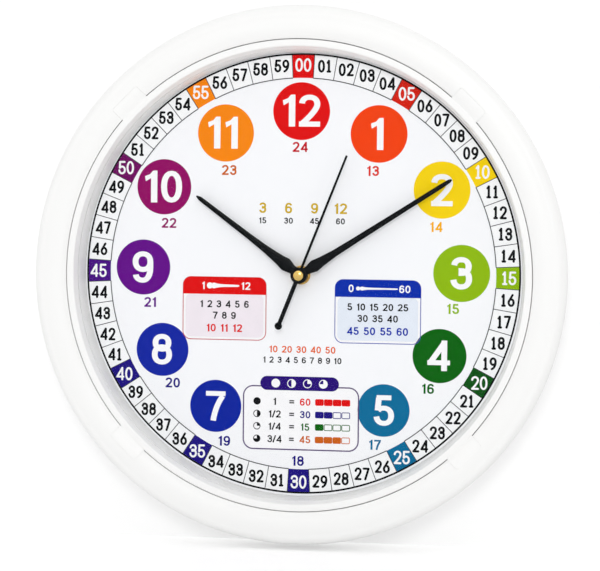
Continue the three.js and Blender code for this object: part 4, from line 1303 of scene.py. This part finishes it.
def print_minute_ring():
    half = 180 / MINUTES
    for minute in range(MINUTES):
        angle = 360 * minute / MINUTES + RING_TURN
        spot = clock_spot(RING_MIDDLE, angle)
        text = "%02d" % minute
        cell = band(RING_INNER, RING_OUTER, angle - half, angle + half)
        if minute % BRIGHT_EVERY == 0:
            stamp(CELL_INKS[minute // BRIGHT_EVERY], cell, 1)
            write("white", text, spot, BRIGHT_MINUTE_SIZE, WHITE_ROUND, 2)
            continue
        stamp("cell", cell, 1)
        write("black", text, spot, MINUTE_SIZE, ROUND, 2)
        for lift, side in enumerate((angle + half, angle - half)):
            edge = [clock_spot(radius, side) for radius in (RING_INNER, RING_OUTER)]
            stamp("grey", ribbon(edge, even_pen(CELL_LINE)), 3, lift=lift)
    stamp("black", band(RING_OUTER, RING_OUTER + OUTER_LINE, 0, 360, RING_SIDES), 3)
    inner, outer = RING_INNER - INNER_LINE / 2, RING_INNER + INNER_LINE / 2
    for minute in range(MINUTES):
        if minute % BRIGHT_EVERY:
            angle = 360 * minute / MINUTES + RING_TURN
            stamp("grey", band(inner, outer, angle - half, angle + half, CORNER_STEPS), 3, lift=2)


def print_hours():
    for text, spot, diameter, ink, size, nudge in HOUR_DISCS:
        radius = diameter / 2
        stamp(ink, oval(spot, (radius, radius), RING_SIDES // 2), 1)
        write("white", text, (spot[0] + nudge[0], spot[1] + nudge[1]), size, BOLD, 2)
    for text, spot, ink in DAY_LABELS:
        write(ink, text, (spot[0] + LABEL_SHIFT[0], spot[1] + LABEL_SHIFT[1]), LABEL_SIZE, LABEL, 1)


# Panels. Where the photograph has words, these hold plain numbers and small pictures of hands.

Panel = namedtuple("Panel", "left right bottom top header line_ink fill_ink head_ink")
Row = namedtuple("Row", "text drop size")
PANEL_CORNER = 4.6
PANEL_LINE = 0.45
PANEL_MARGIN = 1
HOUR_PANEL = Panel(-68.6, -20.1, -38.2, -2.4, -12.2, "redline", "blush", "red")
MINUTE_PANEL = Panel(19.9, 69, -38.6, -2.6, -12.4, "blueline", "mist", "royal")
HOUR_ROWS = (Row("1 2 3 4 5 6", 5.6, 4), Row("7 8 9", 12.1, 4), Row("10 11 12", 19.3, 4.4))
MINUTE_ROWS = (Row("5 10 15 20 25", 5.6, 4), Row("30 35 40", 12.1, 4), Row("45 50 55 60", 19.3, 4.4))
HEAD_SIZE = 4.3

# Heads: first and last number, half length and half width of the hand, reach of the numbers
HOUR_HEAD = ("1", "12", 8.6, 1.75, 12.4)
MINUTE_HEAD = ("0", "60", 11.4, 1.15, 15.4)


def print_panel(panel, head, shape, rows):
    left, right, bottom, top = panel.left, panel.right, panel.bottom, panel.top
    outline = rounded_rectangle(left, right, bottom, top, PANEL_CORNER)
    stamp("white", filled(outline), 1)
    stamp(panel.line_ink, ribbon(outline, even_pen(PANEL_LINE), True), 2)
    inset = PANEL_LINE + PANEL_MARGIN
    corner = PANEL_CORNER - inset
    inner = rounded_rectangle(left + inset, right - inset, bottom + inset, panel.header, corner)
    stamp(panel.fill_ink, filled(inner), 2)
    header = outline[:len(outline) // 2] + [(left, panel.header), (right, panel.header)]
    stamp(panel.head_ink, filled(header), 3)
    middle = (left + right) / 2
    print_head(head, shape, middle, (top + panel.header) / 2)
    for row, ink in zip(rows, ("black", "black", panel.head_ink)):
        write(ink, row.text, (middle, panel.header - row.drop), row.size, LABEL, 4)


def print_head(head, stations, x, y):
    """A small white hand that lies between the first and the last number it points to."""
    first, last, reach, half, number_reach = head
    tops = [(x - reach + 2 * reach * along, y + half * width) for along, width in stations]
    bottoms = [(across, 2 * y - up) for across, up in reversed(tops)]
    stamp("white", filled(tops + bottoms), 4)
    stamp("white", oval((x - reach, y), (half, half)), 4, lift=1)
    write("white", first, (x - number_reach, y), HEAD_SIZE, LABEL, 4)
    write("white", last, (x + number_reach, y), HEAD_SIZE, LABEL, 4)


FACTS = Panel(-32.7, 34, -100.4, -64.3, 0, "frameline", "white", "pill")
FACTS_CORNER = 5.6
FACTS_LINE = 0.72
PILL = (-23, 22.6, -66.5, -58.5)
Fact = namedtuple("Fact", "share minutes part ink height")
FACT_ROWS = (
    Fact("1", "60", 1, "red", -73),
    Fact("1/2", "30", 0.5, "midnight", -80.2),
    Fact("1/4", "15", 0.25, "green", -87.3),
    Fact("3/4", "45", 0.75, "amber", -94.5),
)
FACT_SIZE = 4.1
FACT_PIE_X = -24.8
FACT_SHARE_X = -14.5
FACT_EQUALS_X = -4.6
FACT_NUMBER_X = 3.2
PIE_RADIUS = 2.3
PIE_PITCH = PIE_RADIUS * 4
FACT_PIE_RADIUS = 1.9
BAR_START = 9.2
BAR_PARTS = 4
BAR_PART_WIDTH = 4.5
BAR_PITCH = 5.1
BAR_HEIGHT = 3.3
BAR_CORNER = BAR_HEIGHT / 6


def print_pie(ink, spot, radius, part, layer):
    """A small clock face with part of its turn filled in, from the top and clockwise."""
    outline = [clock_spot(radius, 360 * part * share) for share in shares(DISC_SIDES)]
    if part < 1:
        outline = [(0, 0)] + outline
    stamp(ink, filled(outline[::-1]), layer, spot)
    ring = [clock_spot(radius, 360 * share) for share in shares(DISC_SIDES)][:-1]
    stamp(ink, ribbon(ring, even_pen(PANEL_LINE), True), layer, spot, lift=1)


def print_bar(ink, height, part):
    """A row of four blocks with a block filled in for every quarter of an hour."""
    low, high = height - BAR_HEIGHT / 2, height + BAR_HEIGHT / 2
    for block in range(BAR_PARTS):
        left = BAR_START + block * BAR_PITCH
        outline = rounded_rectangle(left, left + BAR_PART_WIDTH, low, high, BAR_CORNER, CORNER_STEPS)
        if block < part * BAR_PARTS:
            stamp(ink, filled(outline), 2)
        stamp(ink, ribbon(outline, even_pen(PANEL_LINE), True), 2, lift=1)


def print_facts():
    box = rounded_rectangle(FACTS.left, FACTS.right, FACTS.bottom, FACTS.top, FACTS_CORNER)
    stamp("white", filled(box), 1)
    stamp(FACTS.line_ink, ribbon(box, even_pen(FACTS_LINE), True), 2)
    left, right, bottom, top = PILL
    stamp("pill", filled(rounded_rectangle(left, right, bottom, top, (top - bottom) / 2)), 3)
    middle = (left + right) / 2
    for index, fact in enumerate(FACT_ROWS):
        place_in_pill = (middle + (index - (len(FACT_ROWS) - 1) / 2) * PIE_PITCH, (bottom + top) / 2)
        print_pie("white", place_in_pill, PIE_RADIUS, fact.part, 4)
        print_pie("black", (FACT_PIE_X, fact.height), FACT_PIE_RADIUS, fact.part, 2)
        write("black", fact.share, (FACT_SHARE_X, fact.height), FACT_SIZE, LABEL, 2)
        write("black", "=", (FACT_EQUALS_X, fact.height), FACT_SIZE, LABEL, 2)
        write(fact.ink, fact.minutes, (FACT_NUMBER_X, fact.height), FACT_SIZE, LABEL, 2)
        print_bar(fact.ink, fact.height, fact.part)


# Rows of plain numbers. Below the hands: text, place, size. Above them: ink, numbers, height, size.
SECOND_ROW = ("10 20 30 40 50", (1.2, -43), 3.9)
TICK_ROW = ("1 2 3 4 5 6 7 8 9 10", (1.2, -49.1), 3.5)
COUNT_PLACES = (-22.5, -7.5, 7.5, 22.5)
COUNT_ROWS = (
    ("gold", ("3", "6", "9", "12"), 37.6, 6),
    ("black", ("15", "30", "45", "60"), 30.4, 3.4),
)


def print_counts():
    for ink, numbers, height, size in COUNT_ROWS:
        for x, number in zip(COUNT_PLACES, numbers):
            write(ink, number, (x, height), size, LABEL, 1)
    write("orangered", *SECOND_ROW, LABEL, 1)
    write("black", *TICK_ROW, LABEL, 1)


def build_print():
    print_minute_ring()
    print_hours()
    print_panel(HOUR_PANEL, HOUR_HEAD, HOUR_HAND_SHARES, HOUR_ROWS)
    print_panel(MINUTE_PANEL, MINUTE_HEAD, MINUTE_HAND_SHARES, MINUTE_ROWS)
    print_facts()
    print_counts()
    for ink, (points, faces) in printed.items():
        if faces:
            finish = "ink_" + ink
            materials[finish] = surface(finish, INK_LOOK._replace(colour=INKS[ink]))
            piece("print_" + ink, (points, faces), finish, "case", slot="dial_card", solid=False)


# Floor, backdrop, light and camera

def add_plane(name, corners, material):
    mesh = bpy.data.meshes.new(name)
    mesh.from_pydata(corners, [], [(0, 1, 2, 3)])
    mesh.materials.append(material)
    made = linked(name, mesh)
    return made


def stage_material(name, colour, glow):
    """A pale matt ground, which the camera sees a little brighter so that only shadows show on it."""
    material, tree = blank_material(name)
    shaded(material, {"Roughness": 0.9, "Specular IOR Level": 0.1, "Base Color": linear(colour)})
    seen = add_node(tree, "ShaderNodeLightPath", output="Is Camera Ray")
    power = add_node(tree, "ShaderNodeMath", {0: seen, 1: glow}, operation="MULTIPLY")
    emission = add_node(tree, "ShaderNodeEmission", {"Strength": power})
    matt = tree.nodes["Principled BSDF"].outputs["BSDF"]
    both = add_node(tree, "ShaderNodeAddShader", {0: matt, 1: emission})
    connect(tree, tree.nodes["Material Output"], {"Surface": both})
    return material


def floor_level():
    return cad_box[0][2] - FLOOR_DROP * METRE


def build_floor():
    low, reach = floor_level(), FLOOR_REACH * METRE
    corners = [(-reach, -reach, low), (reach, -reach, low), (reach, reach, low), (-reach, reach, low)]
    floor = add_plane("floor", corners, stage_material("floor_white", FLOOR_WHITE, FLOOR_GLOW))
    floor.visible_shadow = False


def build_backdrop():
    """A white sheet close behind the clock. Only the camera sees it, and only from the front."""
    material = stage_material("backdrop_white", BACKDROP_WHITE, BACKDROP_GLOW)
    tree = material.node_tree
    output = tree.nodes["Material Output"]
    front = output.inputs["Surface"].links[0].from_socket
    behind = add_node(tree, "ShaderNodeNewGeometry", output="Backfacing")
    clear = add_node(tree, "ShaderNodeBsdfTransparent")
    choice = add_node(tree, "ShaderNodeMixShader", {"Fac": behind, 1: front, 2: clear})
    connect(tree, output, {"Surface": choice})
    back = cad_box[1][1] + BACKDROP_GAP * METRE
    low, reach = floor_level(), FLOOR_REACH * METRE
    high = low + reach
    corners = [(-reach, back, low), (reach, back, low), (reach, back, high), (-reach, back, high)]
    sheet = add_plane("backdrop", corners, material)
    sheet.visible_diffuse = False
    sheet.visible_glossy = False
    sheet.visible_transmission = False
    sheet.visible_volume_scatter = False
    sheet.visible_shadow = False


def build_world():
    """A white room, a little brighter behind the clock than in front of it."""
    world = bpy.data.worlds.new("studio")
    bpy.context.scene.world = world
    world.use_nodes = True
    tree = world.node_tree
    path = tree.nodes.new("ShaderNodeLightPath")
    seen = path.outputs["Is Camera Ray"]
    for other in ("Is Glossy Ray", "Is Transmission Ray"):
        inputs = {0: seen, 1: path.outputs[other]}
        seen = add_node(tree, "ShaderNodeMath", inputs, operation="MAXIMUM")
    source = add_node(tree, "ShaderNodeTexCoord", output="Generated")
    behind = add_node(tree, "ShaderNodeSeparateXYZ", {"Vector": source}, "Y")
    sky = ranged(tree, behind, SKY_FRONT, SKY_BACK, -SKY_TURN, SKY_TURN)
    strength = ranged(tree, seen, sky, 1, 0, 1)
    connect(tree, tree.nodes["Background"], {"Color": (1, 1, 1, 1), "Strength": strength})


def aimed(location, target):
    return (Vector(target) - Vector(location)).to_track_quat("-Z", "Y").to_euler()


def build_lamp(name, spot, size, power):
    data = bpy.data.lights.new(name, "AREA")
    data.shape = "DISK"
    data.size = size * METRE
    data.energy = power
    lamp = linked(name, data)
    lamp.location = place(spot)
    lamp.rotation_euler = aimed(lamp.location, place((0, 0, 0)))


def build_camera():
    azimuth, elevation, roll = (math.radians(angle) for angle in (AZIMUTH, ELEVATION, ROLL))
    back = Vector((
        math.sin(azimuth) * math.cos(elevation),
        -math.cos(azimuth) * math.cos(elevation),
        math.sin(elevation),
    ))
    level = Vector((math.cos(azimuth), math.sin(azimuth), 0))
    upright = back.cross(level)
    centre = place((0, 0, dial_front))
    location = centre + back * CAMERA_DISTANCE * METRE
    right = level * math.cos(roll) + upright * math.sin(roll)
    up = upright * math.cos(roll) - level * math.sin(roll)
    target = centre - (up * AIM_BELOW + right * AIM_LEFT) * METRE
    away = (location - target).normalized()
    up = away.cross(right).normalized()
    right = up.cross(away)
    data = bpy.data.cameras.new("camera")
    data.lens = LENS_LENGTH
    data.sensor_width = SENSOR_WIDTH
    camera = linked("camera", data)
    turn = Matrix((right, up, away)).transposed().to_4x4()
    camera.matrix_world = Matrix.Translation(location) @ turn
    bpy.context.scene.camera = camera


def build_room():
    build_floor()
    build_backdrop()
    build_world()
    for lamp in LAMPS:
        build_lamp(*lamp)
    build_camera()
    bpy.context.scene.view_settings.view_transform = "Standard"


finish_nodes()
build_case()
build_plate()
build_lens_ring()
build_lens_and_card()
build_fixing()
build_hands()
build_cell()
build_screws()
build_print()
build_room()
